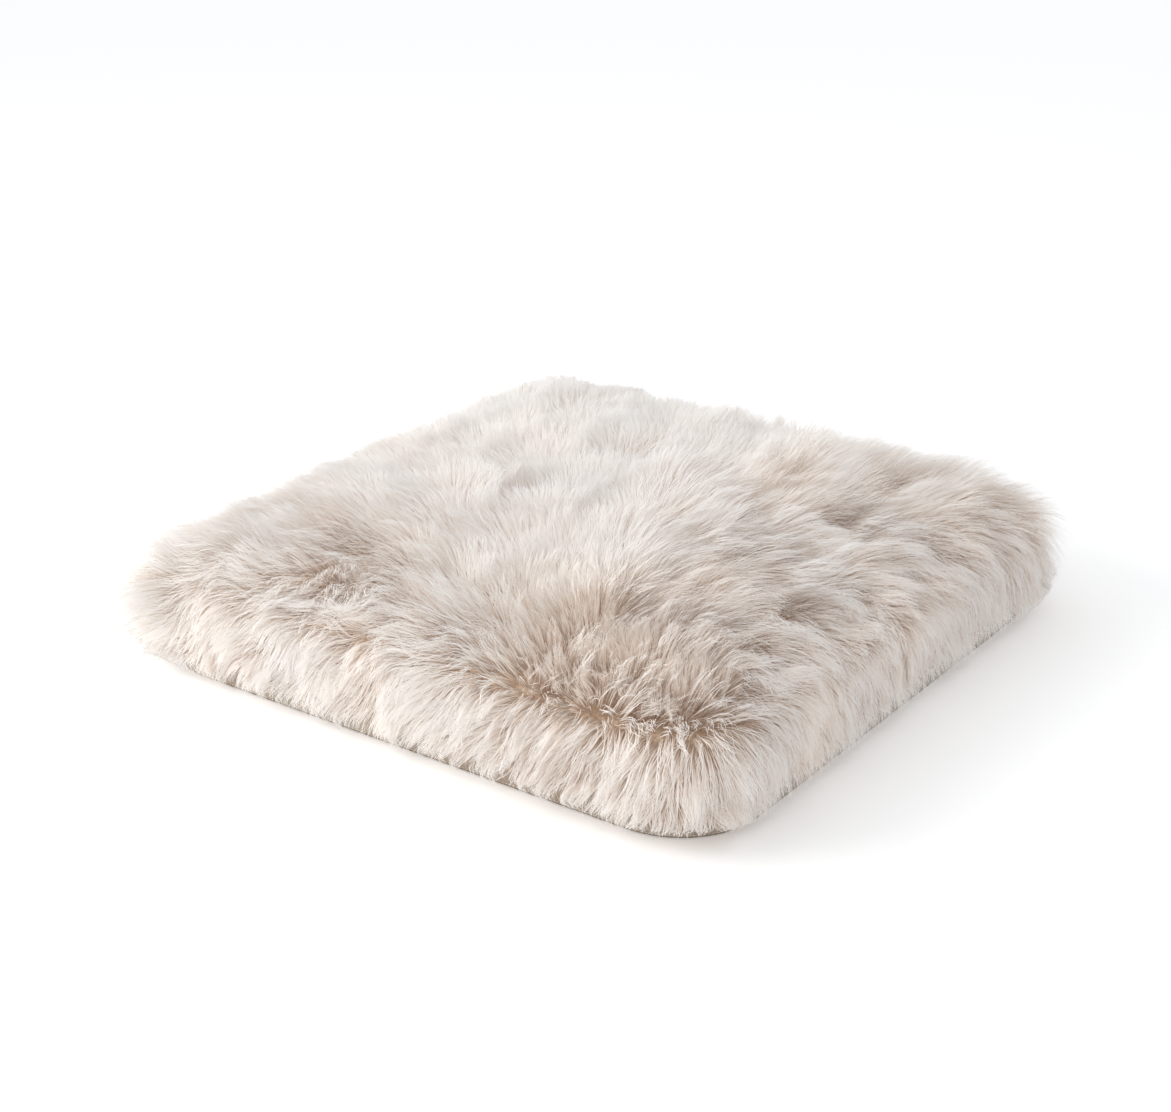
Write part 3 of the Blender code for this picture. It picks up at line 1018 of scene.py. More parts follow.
@dataclass
class Fleece:
    """Wool that grows from the hide, parted into pelts."""

    hide: bpy.types.Object
    form: Form
    groom: Groom
    coats: tuple[Coat, ...] = (
        Coat(spacing=0.00295, joints=6, length=0.064, width=0.00070, stray=0.10, tan=0.0),
        Coat(spacing=0.00345, joints=4, length=0.042, width=0.00100, stray=0.16, tan=0.30),
    )
    guide: Coat = Coat(spacing=0.019, joints=6, length=0.066, width=0.001, stray=0.10, tan=0.0)
    brush_height: float = 0.044
    tuft_spacing: float = 0.0056
    spread: float = 0.10
    root_lift: float = 70.0
    tip_lift: float = 17.0
    corner_lift: float = 34.0
    turns: float = 1.1
    brush: float = 0.60
    top_limit: float = 0.2235
    side_limit: float = 0.4745
    corner_span: tuple[float, float] = (0.30, 0.40)
    tip_span: tuple[float, float] = (0.28, 0.40)
    low_span: tuple[float, float] = (0.040, 0.095)
    rim_width: float = 0.05
    rim_height: float = 0.04
    hem: float = 0.0035
    zip_hem: float = 0.0235
    hem_wave: float = 0.004
    tint_limits: tuple[float, float] = (0.02, 0.98)
    cup: float = 28.0
    roll: float = 0.45
    taper: float = 0.72
    taper_power: float = 1.8
    soften: float = 0.35
    tint_spread: float = 0.006
    on_top: float = 0.5
    bands: tuple[tuple[str, float, float], ...] = (
        ("front", -1, -0.21), ("fore", -0.21, 0.0), ("aft", 0.0, 0.21), ("back", 0.21, 1))

    def corner(self, places: np.ndarray) -> np.ndarray:
        """Say how near places are to a corner of the plan, from 0 to 1."""
        return smooth(*self.corner_span, np.abs(places[:, :2]).min(1))

    def tip(self, places: np.ndarray) -> np.ndarray:
        """Say how near places are to the corner at -X and -Y, whose locks are the longest, from 0 to 1."""
        return smooth(*self.tip_span, np.minimum(-places[:, 0], -places[:, 1]))

    def seed_roots(self, spacing: float, seed: int) -> tuple[np.ndarray, np.ndarray]:
        """Scatter roots evenly over the hide.

        Args:
            spacing: Mean distance between roots.
            seed: Seed of the scatter.

        Returns:
            Root places and the hide's normals there.
        """
        data = self.hide.data
        data.calc_loop_triangles()
        corners = np.empty(len(data.loop_triangles) * 3, np.int32)
        data.loop_triangles.foreach_get("vertices", corners)
        corners = corners.reshape(-1, 3)
        places, normals = read_vertices(data), read_vertices(data, "normal")
        first, second, third = (places[corners[:, i]] for i in range(3))
        facing = np.cross(second - first, third - first)
        area = np.linalg.norm(facing, axis=1) / 2
        low = (first + second + third)[:, 2] / 3 < self.form.base_height - 0.001
        area[(facing[:, 2] < -0.8 * np.linalg.norm(facing, axis=1)) | low] = 0
        random = np.random.default_rng(seed)
        count = int(area.sum() / spacing**2)
        reach = np.cumsum(area)
        picks = (np.arange(count) + random.uniform(size=count)) * reach[-1] / count
        face = np.searchsorted(reach, picks)
        one, two = random.uniform(size=(2, count, 1))
        fold = one + two > 1
        one, two = np.where(fold, 1 - one, one), np.where(fold, 1 - two, two)
        share = (1 - one - two, one, two)
        roots = sum(part * places[corners[face, i]] for i, part in enumerate(share))
        facing = sum(part * normals[corners[face, i]] for i, part in enumerate(share))
        return roots, unit(facing)

    def grow(self, roots: np.ndarray, normals: np.ndarray, coat: Coat, seed: int) -> Strands:
        """Grow each strand from its root along the groom, over the form.

        Args:
            roots: Root places.
            normals: The hide's normals there.
            coat: The coat that the strands belong to.
            seed: Seed of what varies from strand to strand.

        Returns:
            The strands, not yet gathered.
        """
        random = np.random.default_rng(seed)
        count = len(roots)
        curl, lifted = self.groom.blend(roots, ("curl", "lift"))
        heading = self.groom.flow(roots, normals, curl)
        turn = random.normal(0, coat.stray, count)[:, None]
        heading = np.cos(turn) * heading + np.sin(turn) * np.cross(normals, heading)
        puff = Ripples(0.085, SEED + 4).read(roots)
        wall = smooth(0.25, 0.85, 1 - normals[:, 2])
        corner = self.corner(roots) * wall
        length = coat.length * (1 + 0.10 * puff + 0.08 * Ripples(0.03, SEED + 5).read(roots))
        tip = self.tip(roots) * wall
        low = wall * (1 - smooth(*self.low_span, roots[:, 2]))
        across = self.form.plan(roots)[0] / self.rim_width
        above = (roots[:, 2] - self.form.seam_height) / self.rim_height
        rim = np.exp(-(across**2 + above**2)) * (1 - corner)
        traits = {"curl": curl, "lifted": lifted, "puff": puff, "wall": wall, "corner": corner, "tip": tip,
                  "low": low, "rim": rim}
        length *= add_traits(1, LENGTHEN, traits)
        length *= np.exp(random.normal(0, self.spread, count))
        start = np.radians(add_traits(self.root_lift, ROOT_LIFT, traits))
        start += random.normal(0, self.spread, count)
        end = np.radians(add_traits(self.tip_lift, TIP_LIFT, traits))
        end += np.radians(self.corner_lift) * tip
        end += random.normal(0, self.spread, count)
        phase = 5.0 * Ripples(0.06, SEED + 6).read(roots) + random.normal(0, 0.35, count)
        bend = (0.28 + 0.75 * curl) * (1 + 0.25 * random.normal(size=count))
        tilt = normals - self.form.outward(roots)
        step = (length / coat.joints)[:, None]
        path, facing = [roots], [normals]
        for joint in range(coat.joints):
            along = (joint + 0.5) / coat.joints
            out = unit(self.form.outward(path[-1]) + tilt)
            heading = heading - (heading * out).sum(1, keepdims=True) * out
            drop = ((0.20 * wall + 0.5 * low) * along)[:, None]
            heading = unit(heading + drop * np.array([0.0, 0.0, -1.0]))
            lift = (start + (end - start) * along**0.65)[:, None]
            wave = np.sin(phase + 2 * math.pi * along * self.turns)
            sway = (bend * wave * (0.25 + 0.75 * along))[:, None]
            side = np.cross(out, heading)
            way = np.cos(lift) * (np.cos(sway) * heading + np.sin(sway) * side) + np.sin(lift) * out
            path.append(path[-1] + step * way)
            facing.append(out)
        tint = np.clip(self.tint(roots, random) + coat.tan, *self.tint_limits)
        width = coat.width * np.exp(random.normal(0, 0.22, count))
        return Strands(np.stack(path, 1), np.stack(facing, 1), tint, width)

    def tint(self, roots: np.ndarray, random: np.random.Generator) -> np.ndarray:
        """Say how tan each strand is.

        Args:
            roots: Root places.
            random: Where what varies from strand to strand comes from.

        Returns:
            From 0 for cream to 1 for tan.
        """
        tan = self.groom.blend(roots, ("tan",))[0]
        patches = Ripples(0.20, SEED + 41).read(roots)
        flecks = Ripples(0.035, SEED + 42).read(roots)
        tint = 0.22 + 0.15 * patches + 0.08 * flecks + 0.55 * tan + random.normal(0, 0.12, len(roots))
        return np.clip(tint, *self.tint_limits)

    def gather(self, strands: Strands, guides: Strands, hold: np.ndarray, loose: np.ndarray) -> None:
        """Draw strands together towards the nearest guide, more so towards their tips.

        Args:
            strands: The strands, changed in place.
            guides: Guide strands, with any number of joints.
            hold: How firmly each strand joins, from 0 to 1.
            loose: Share of its own place that each strand keeps at its tip.
        """
        tree = KDTree(len(guides.paths))
        for index, root in enumerate(guides.paths[:, 0]):
            tree.insert(root, index)
        tree.balance()
        nearest = np.array([tree.find(root)[1] for root in strands.paths[:, 0]])
        knots = strands.paths.shape[1]
        size = np.linalg.norm(strands.paths[:, -1] - strands.paths[:, 0], axis=1)
        guide_paths = guides.paths[nearest]
        whole = np.linalg.norm(guide_paths[:, -1] - guide_paths[:, 0], axis=1)
        reach = np.clip(size / np.maximum(whole, 1e-6), 0.3, 1.15)
        at = np.linspace(0, 1, knots)[None, :] * reach[:, None] * (guide_paths.shape[1] - 1)
        low = np.clip(at.astype(int), 0, guide_paths.shape[1] - 2)
        part = (at - low)[:, :, None]
        rows = np.arange(len(nearest))[:, None]
        guide = guide_paths[rows, low] * (1 - part) + guide_paths[rows, low + 1] * part
        offset = strands.paths[:, :1] - guide_paths[:, :1]
        along = np.linspace(0, 1, knots)[None, :, None]
        target = guide + offset * (1 - (1 - loose[:, None, None]) * smooth(0.1, 1.0, along))
        share = hold[:, None, None] * smooth(0.0, 0.7, along)
        strands.paths = strands.paths * (1 - share) + target * share
        strands.facing = unit(strands.facing + self.cup * share * offset)
        strands.tint = strands.tint * 0.6 + guides.tint[nearest] * 0.4

    def comb(self) -> list[Strands]:
        """Grow all the coats and gather them into tufts and locks.

        Returns:
            The strands of each coat.
        """
        locks = self.grow(*self.seed_roots(self.guide.spacing, SEED + 21), self.guide, SEED + 31)
        tufts = self.grow(*self.seed_roots(self.tuft_spacing, SEED + 20), self.guide, SEED + 32)
        curl = self.groom.blend(tufts.paths[:, 0], ("curl",))[0]
        self.gather(tufts, locks, 0.35 - 0.20 * curl, np.full(len(curl), 0.60))
        combed = []
        for index, coat in enumerate(self.coats):
            strands = self.grow(*self.seed_roots(coat.spacing, SEED + 50 + index), coat, SEED + 33 + index)
            roots = strands.paths[:, 0]
            curl = self.groom.blend(roots, ("curl",))[0]
            clump = smooth(-0.6, 0.8, Ripples(0.11, SEED + 8).read(roots))
            hold = 0.40 + 0.25 * clump + 0.28 * curl
            self.gather(strands, tufts, np.clip(hold, 0, 0.95), 0.60 - 0.25 * clump - 0.25 * curl)
            self.trim(strands)
            combed.append(strands)
        return combed

    def trim(self, strands: Strands) -> None:
        """Brush down what stands proud, and trim the hem clear of the floor and of the zip.

        Args:
            strands: The strands, changed in place.
        """
        paths = strands.paths
        count, knots = paths.shape[:2]
        flat = paths.reshape(-1, 3)
        out = self.form.outward(flat)
        random = np.random.default_rng(SEED + 44 + knots)
        top = np.repeat(paths[:, 0], knots, 0)
        lumps = Ripples(0.075, SEED + 10).read(top)
        fringe = np.repeat(np.abs(random.normal(0, 0.004, count)), knots)
        corner, tip = self.corner(top), self.tip(top)
        far = 0.016 * smooth(0.05, 0.38, top[:, 1]) * smooth(-0.25, 0.0, top[:, 0])
        proud = self.form.height(flat) - self.brush_height - 0.005 * lumps - fringe - 0.02 * corner - far
        proud -= 0.03 * tip
        flat = flat - np.maximum(proud, 0)[:, None] * self.brush * out
        flat[:, 2] = np.minimum(flat[:, 2], self.top_limit)
        distance, way = self.form.plan(flat)
        reach = 0.010 + (0.040 + 0.02 * corner + 0.075 * tip) * smooth(-0.004, 0.060, flat[:, 2])
        flat[:, :2] -= np.maximum(distance - reach, 0)[:, None] * way
        flat[:, :2] = np.clip(flat[:, :2], -self.side_limit, self.side_limit)
        paths = flat.reshape(count, knots, 3)
        root = paths[:, :1]
        back = smooth(0.36, 0.40, root[:, 0, 1]) * (1 - smooth(0.37, 0.40, np.abs(root[:, 0, 0])))
        wave = np.abs(Ripples(0.02, SEED + 9).read(root[:, 0]))
        lowest = self.hem + self.zip_hem * back + self.hem_wave * wave
        drop = root[:, 0, 2] - paths[:, :, 2].min(1)
        share = np.clip((root[:, 0, 2] - lowest) / np.maximum(drop, 1e-6), 0.12, 1)
        strands.paths = root + (paths - root) * share[:, None, None]

    def weave(self, name: str, coats: list[Strands]) -> bpy.types.Object:
        """Make one mesh of tapered ribbons from strands.

        The strands are laid out as arrays, because no operator makes this many in a usable time.

        Args:
            name: Name of the piece.
            coats: Strands of each coat.

        Returns:
            The piece, riding on the cover.
        """
        parts = [self.ribbons(strands, index) for index, strands in enumerate(coats)]
        verts = np.concatenate([part[0] for part in parts])
        normals = np.concatenate([part[1] for part in parts])
        places = np.concatenate([part[2] for part in parts])
        shift = np.cumsum([0] + [len(part[0]) for part in parts[:-1]])
        loops = np.concatenate([part[3] + start for part, start in zip(parts, shift)])
        sizes = np.concatenate([part[4] for part in parts])
        starts = np.concatenate([[0], np.cumsum(sizes)[:-1]])
        data = bpy.data.meshes.new(name)
        data.vertices.add(len(verts))
        data.vertices.foreach_set("co", verts.reshape(-1).astype(np.float32))
        data.loops.add(len(loops))
        data.loops.foreach_set("vertex_index", loops.astype(np.int32))
        data.polygons.add(len(sizes))
        data.polygons.foreach_set("loop_start", starts.astype(np.int32))
        layer = data.uv_layers.new(name=WOOL_MAP, do_init=False)
        layer.uv.foreach_set("vector", places[loops].reshape(-1).astype(np.float32))
        data.update(calc_edges=True)
        data.shade_smooth()
        own = data.attributes.new("custom_normal", "FLOAT_VECTOR", "POINT")
        own.data.foreach_set("vector", normals.reshape(-1).astype(np.float32))
        data.materials.append(WoolFinish("wool_locks").material())
        made = add_object(name, data)
        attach(made, COVER)
        return made

    def ribbons(self, strands: Strands, index: int) -> tuple[np.ndarray, ...]:
        """Lay out ribbons along strands.

        Args:
            strands: The strands.
            index: Number of the coat, which seeds the roll of its ribbons.

        Returns:
            Vertices, normals and map places, then corners and face sizes.
        """
        paths = strands.paths
        count, knots = paths.shape[:2]
        random = np.random.default_rng(SEED + 60 + index)
        tangent = unit(np.gradient(paths, axis=1))
        side = unit(np.cross(strands.facing, tangent))
        over = np.cross(tangent, side)
        roll = random.uniform(-self.roll, self.roll, (count, 1, 1))
        side = np.cos(roll) * side + np.sin(roll) * over
        along = np.linspace(0, 1, knots)
        taper = strands.width[:, None] * (1 - self.taper * along**self.taper_power)
        half = side * taper[:, :, None] / 2
        steep = np.abs((tangent * strands.facing).sum(-1, keepdims=True))
        facing = unit(over + strands.facing * self.soften * (1 - steep))
        verts = np.stack([paths + half, paths - half], 2).reshape(count, knots * 2, 3)
        verts = np.concatenate([verts[:, :-2], paths[:, -1:]], 1)
        normals = np.repeat(facing, 2, 1)[:, :-1]
        each = knots * 2 - 1
        lows = 2 * np.arange(knots - 2)[:, None]
        quads = lows + np.array([0, 1, 3, 2])
        corners = np.concatenate([quads.reshape(-1), [each - 3, each - 2, each - 1]])
        loops = (np.arange(count) * each)[:, None] + corners[None, :]
        sizes = np.tile(np.array([4] * (knots - 2) + [3]), count)
        tint = strands.tint[:, None] + self.tint_spread * np.array([-1, 1])
        across = np.concatenate([np.tile(tint, knots - 1), strands.tint[:, None]], 1)
        up = np.concatenate([np.repeat(along[:-1], 2), along[-1:]])[None, :].repeat(count, 0)
        places = np.stack([across, up], 2)
        return verts.reshape(-1, 3), normals.reshape(-1, 3), places.reshape(-1, 2), loops.reshape(-1), sizes

    def build(self) -> None:
        """Grow the wool and part it into the pelts of the frame."""
        coats = self.comb()
        parts: dict[tuple[str, str], list[Strands]] = {}
        for strands in coats:
            for key, chosen in self.regions(strands).items():
                parts.setdefault(key, []).append(strands.take(chosen))
        for (node, name), own in parts.items():
            piece = self.weave(name, own)
            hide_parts(node)
            LOG.info("%s: %d triangles", name, len(piece.data.loops) - 2 * len(piece.data.polygons))

    def regions(self, strands: Strands) -> dict[tuple[str, str], np.ndarray]:
        """Part strands by where their roots are.

        Args:
            strands: The strands.

        Returns:
            For each pelt's node and piece of wool, which strands are in it.
        """
        roots = strands.paths[:, 0]
        east, north = roots[:, 0], roots[:, 1]
        on_top = strands.facing[:, 0, 2] > self.on_top
        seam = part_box("top_pelt_right")[0][0]
        found = {}
        for hand, own in (("left", east <= seam), ("right", east > seam)):
            node = f"top_pelt_{hand}"
            for band, low, high in self.bands:
                found[node, f"{node}_wool_{band}"] = on_top & own & (north >= low) & (north < high)
        wide = np.abs(east) > np.abs(north)
        for side, own in (("front", ~wide & (north < 0)), ("back", ~wide & (north >= 0)),
                          ("left", wide & (east < 0)), ("right", wide & (east >= 0))):
            found[f"side_pelt_{side}", f"side_pelt_{side}_wool"] = own & ~on_top
        return found


# --- Sewn parts --------------------------------------------------------------------------------


class Side(Enum):
    """Sides of the cover, as quarter turns from the front."""

    FRONT = 0
    RIGHT = 1
    BACK = 2
    LEFT = 3


@dataclass
class Workroom:
    """Shared ways of cutting, sewing and fastening pieces round the rounded plan of the cover."""

    half: float
    radius: float = 0.10
    cut: float = 0.003
    strip_rows: int = 8
    crease: float = 0.009
    crease_drift: float = 41.0
    thread: tuple[float, float] = (0.00035, 0.00045)
    thread_tilt: float = 0.08

    @property
    def end(self) -> float:
        """Length along one side from its middle to the middle of the corner."""
        return self.half - self.radius + self.radius * math.pi / 4

    def path(self, side: Side, along: np.ndarray) -> tuple[np.ndarray, np.ndarray]:
        """Follow the plan along one side and round its corners.

        Args:
            side: The side.
            along: Lengths along it from its middle, rightwards as seen from outside.

        Returns:
            Places in plan and the outward ways there.
        """
        reach = self.half - self.radius
        angle = np.sign(along) * np.maximum(np.abs(along) - reach, 0) / self.radius
        out = np.stack([np.sin(angle), -np.cos(angle)], 1)
        places = np.stack([np.clip(along, -reach, reach), np.full(len(along), -reach)], 1) + self.radius * out
        turn = math.radians(90 * side.value)
        matrix = np.array([[math.cos(turn), math.sin(turn)], [-math.sin(turn), math.cos(turn)]])
        return places @ matrix, out @ matrix

    def finish(self, name: str, mesh: bmesh.types.BMesh, finish: Finish, slot: str) -> bpy.types.Object:
        """Turn a bmesh into a finished piece that rides on the cover.

        Args:
            name: Name of the piece.
            mesh: Its shape, which is freed.
            finish: Its finish.
            slot: The record's material slot for it; not used.

        Returns:
            The piece.
        """
        data = take_mesh(name, mesh)
        data.shade_smooth()
        data.materials.append(finish.material())
        made = add_object(name, data)
        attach(made, COVER)
        LOG.info("%s: %d faces", name, len(data.polygons))
        return made

    def strip(self, name: str, side: Side, span: tuple[float, float], heights: tuple[float, float],
              finish: Finish, slot: str, offset: float = 0.0, pucker: float = 0.0004) -> bpy.types.Object:
        """Sew a strip of cloth along one side, puckered between its stitches.

        Args:
            name: Name of the piece.
            side: The side.
            span: Where it starts and ends along the side.
            heights: Its lower and upper edges.
            finish: Its finish.
            slot: Its material slot.
            offset: How far outside the plan it lies.
            pucker: How far it bellies and puckers.

        Returns:
            The strip.
        """
        wide, tall = span[1] - span[0], heights[1] - heights[0]
        mesh, grid = make_grid(max(int(wide / self.cut), 8), self.strip_rows)
        along = span[0] + wide * (grid[:, 0] + 0.5)
        rise = grid[:, 1] + 0.5
        places, out = self.path(side, along)
        belly = pucker * np.sin(math.pi * rise) * 2
        wave = np.sin(2 * math.pi * along / self.crease + 3 * np.sin(along * self.crease_drift))
        creases = pucker * wave * np.abs(2 * rise - 1)
        places = places + out * (offset + belly + creases - pucker)[:, None]
        for vert, place, share in zip(mesh.verts, places, rise):
            vert.co = (place[0], place[1], heights[0] + tall * share)
        turn_faces(mesh, Vector((*out.mean(0), 0)))
        made = self.finish(name, mesh, finish, slot)
        return made

    def stitches(self, name: str, rows: list[tuple[Side, float, float, float]], offset: float = 0.0002,
                 length: float = 0.0034, pitch: float = 0.0050) -> bpy.types.Object:
        """Sew rows of stitches.

        Args:
            name: Name of the piece.
            rows: Side, start, end and height of each row.
            offset: How far outside the plan they lie.
            length: Length of one stitch.
            pitch: Spacing of the stitches.

        Returns:
            All the stitches as one piece.
        """
        one = bmesh.new()
        bmesh.ops.create_uvsphere(one, u_segments=6, v_segments=4, radius=1.0)
        shape = np.array([vert.co for vert in one.verts]) * np.array([*self.thread, length / 2])
        faces = []
        for face in one.faces:
            around = [vert.index for vert in face.verts]
            first = around.index(min(around))
            faces.append(around[first:] + around[:first])
        faces.sort()  # the sphere's faces come in a different order from run to run
        one.free()
        random = np.random.default_rng(SEED + 70)
        mesh = bmesh.new()
        for side, start, stop, height in rows:
            along = np.arange(start + pitch / 2, stop, pitch)
            places, out = self.path(side, along)
            tilts = random.normal(0, self.thread_tilt, len(along))
            for place, way, tilt in zip(places, out, tilts):
                tangent = np.array([-way[1], way[0], tilt])
                tangent /= np.linalg.norm(tangent)
                normal = np.array([way[0], way[1], 0.0])
                third = np.cross(tangent, normal)
                centre = np.array([*(place + way * offset), height])
                at = centre + shape @ np.stack([normal, third, tangent])
                verts = [mesh.verts.new(row) for row in at]
                for face in faces:
                    mesh.faces.new([verts[index] for index in face])
        bmesh.ops.recalc_face_normals(mesh, faces=mesh.faces)
        return self.finish(name, mesh, THREAD, "webbing")


@dataclass
class Base:
    """Canvas base of the cover: its panel, its bands and their stitching."""

    room: Workroom
    band: tuple[float, float] = field(default_factory=lambda: (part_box("base_band_front")[0][2],
                                                               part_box("base_band_front")[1][2]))
    inset: float = 0.0022
    zip_end: float = field(default_factory=lambda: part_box("back_band_right")[0][0])
    panel_cuts: int = 72
    tape_inset: float = 0.009
    tape_drop: tuple[float, float] = (0.017, 0.006)
    edge_start: float = 0.985
    lie: float = 0.0006
    crease: float = 0.0003
    turn_up: float = 0.0014
    floor_gap: float = 0.0001

    def build(self) -> None:
        """Sew the bands, their stitching, the panel and the tapes under the seam of the top."""
        rows = []
        reach = self.room.end
        for name, side, start, stop in (
            ("base_band_front", Side.FRONT, -reach, reach),
            ("base_band_right", Side.RIGHT, -reach, reach),
            ("base_band_left", Side.LEFT, -reach, reach),
            ("back_band_right", Side.BACK, -reach, -self.zip_end),
            ("back_band_left", Side.BACK, self.zip_end, reach),
        ):
            cloth = self.room.strip(f"{name}_cloth", side, (start, stop), self.band, CANVAS, "canvas")
            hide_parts(name)
            for height in (self.band[0] + self.inset, self.band[1] - self.inset):
                rows.append((side, start, stop, height))
        self.room.stitches("base_stitching", rows)
        self.panel()
        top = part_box("top_seam_tape")[1][2]
        heights = (top - self.tape_drop[0], top - self.tape_drop[1])
        for side in Side:
            tape = self.room.strip(f"top_seam_tape_{side.name.lower()}", side, (-reach, reach), heights,
                                   WEBBING, "webbing", offset=-self.tape_inset)
            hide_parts("top_seam_tape")

    def panel(self) -> None:
        """Cut the panel that lies on the floor, with its edge turned up into the bands."""
        mesh, grid = make_grid(self.panel_cuts, self.panel_cuts)
        grid = (grid * 2 * self.room.half)[:, :2]
        far = np.abs(grid)
        inner = self.room.half - self.room.radius
        away = np.maximum(far - inner, 0)
        length = np.linalg.norm(away, axis=1)
        share = np.where(length > 1e-6, away.max(1) / np.maximum(length, 1e-6), 1.0)
        places = np.sign(grid) * (np.minimum(far, inner) + away * share[:, None])
        edge = np.maximum(far.max(1) / self.room.half - self.edge_start, 0) / (1 - self.edge_start)
        creases = Ripples(0.05, SEED + 71).read(np.column_stack([places, 0 * share]))
        heights = self.lie + self.crease * creases * (1 - edge) + self.turn_up * edge**2
        for vert, place, height in zip(mesh.verts, places, heights):
            vert.co = (place[0], place[1], max(height, self.floor_gap))
        turn_faces(mesh, Vector((0, 0, -1)))
        panel = self.room.finish("base_panel_cloth", mesh, CANVAS, "canvas")
        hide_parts("base_panel")


@dataclass
class Zip:
    """Coil zip in the back band, with its tapes, stitching and care label."""

    room: Workroom
    pitch: float = 0.0016
    wire: float = 0.0003
    turn_points: int = 8
    wire_sides: int = 5
    tape_offset: float = -0.0004
    outer_row: float = 0.0022
    row_gap: float = 0.006
    label_curl: float = 0.0016
    label_wave: float = 0.0004
    label_gap: float = 0.0001

    def build(self) -> None:
        """Set the zip in; the slider, its pull and the stops are the frame's own."""
        rows = []
        for half in ("lower", "upper"):
            low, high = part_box(f"zip_tape_{half}")
            tape = self.room.strip(f"zip_tape_{half}_cloth", Side.BACK, (low[0], high[0]), (low[2], high[2]),
                                   ZIP_TAPE, "canvas", offset=self.tape_offset, pucker=0.0001)
            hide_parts(f"zip_tape_{half}")
            edge, inwards = (low[2], 1) if half == "lower" else (high[2], -1)
            outer = edge + inwards * self.outer_row
            rows.append((Side.BACK, low[0], high[0], outer))
            rows.append((Side.BACK, low[0], high[0], outer + inwards * self.row_gap))
            self.coil(half)
        self.room.stitches("zip_stitching", rows, pitch=0.0042, length=0.0028)
        self.label()

    def coil(self, half: str) -> None:
        """Wind one half of the coil along its tape.

        Args:
            half: "lower" or "upper".
        """
        low, high = (np.array(corner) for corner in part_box(f"zip_coil_{half}"))
        centre = (low + high) / 2
        turns = int((high[0] - low[0]) / self.pitch)
        at = np.arange(turns * self.turn_points + 1) / self.turn_points
        angle = 2 * math.pi * at * (1 if half == "lower" else -1)
        wide, tall = (high[1] - low[1]) / 2 - self.wire, (high[2] - low[2]) / 2 - self.wire
        start = low[0] + self.wire
        path = np.stack([start + at * (high[0] - low[0] - 2 * self.wire) / turns,
                         centre[1] + wide * np.sin(angle), centre[2] + tall * np.cos(angle)], 1)
        tangent = unit(np.gradient(path, axis=0))
        side = unit(np.cross(tangent, np.array([1.0, 0.0, 0.0])))
        third = np.cross(tangent, side)
        mesh = bmesh.new()
        verts = []
        for step in range(self.wire_sides):
            turn = 2 * math.pi * step / self.wire_sides
            line = path + self.wire * (math.cos(turn) * side + math.sin(turn) * third)
            verts.append([mesh.verts.new(place) for place in line])
        for ring, after in zip(verts, verts[1:] + verts[:1]):
            for index in range(len(path) - 1):
                mesh.faces.new((ring[index], ring[index + 1], after[index + 1], after[index]))
        mesh.faces.new([ring[0] for ring in verts])
        mesh.faces.new([ring[-1] for ring in verts[::-1]])
        bmesh.ops.recalc_face_normals(mesh, faces=mesh.faces)
        coil = self.room.finish(f"zip_coil_{half}_wire", mesh, NYLON, "nylon")
        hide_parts(f"zip_coil_{half}")

    def label(self) -> None:
        """Sew the care label beside the zip, with its free end curling out."""
        low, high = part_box("care_label")
        mesh = make_grid(14, 12)[0]
        for vert in mesh.verts:
            across, rise = vert.co.x + 0.5, vert.co.y + 0.5
            curl = self.label_curl * (1 - rise) ** 2 + self.label_wave * math.sin(5 * across) * (1 - rise)
            vert.co = (low[0] + (high[0] - low[0]) * across, low[1] + curl + self.label_gap,
                       low[2] + (high[2] - low[2]) * rise)
        turn_faces(mesh, Vector((0, 1, 0)))
        label = self.room.finish("care_label_cloth", mesh, LABEL, "label")
        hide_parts("care_label")


@dataclass(frozen=True)
class Layer:
    """Where one layer of the insert is: how far inside the plan, and its heights."""

    inset: float
    base: float
    edge: float
    crown: float


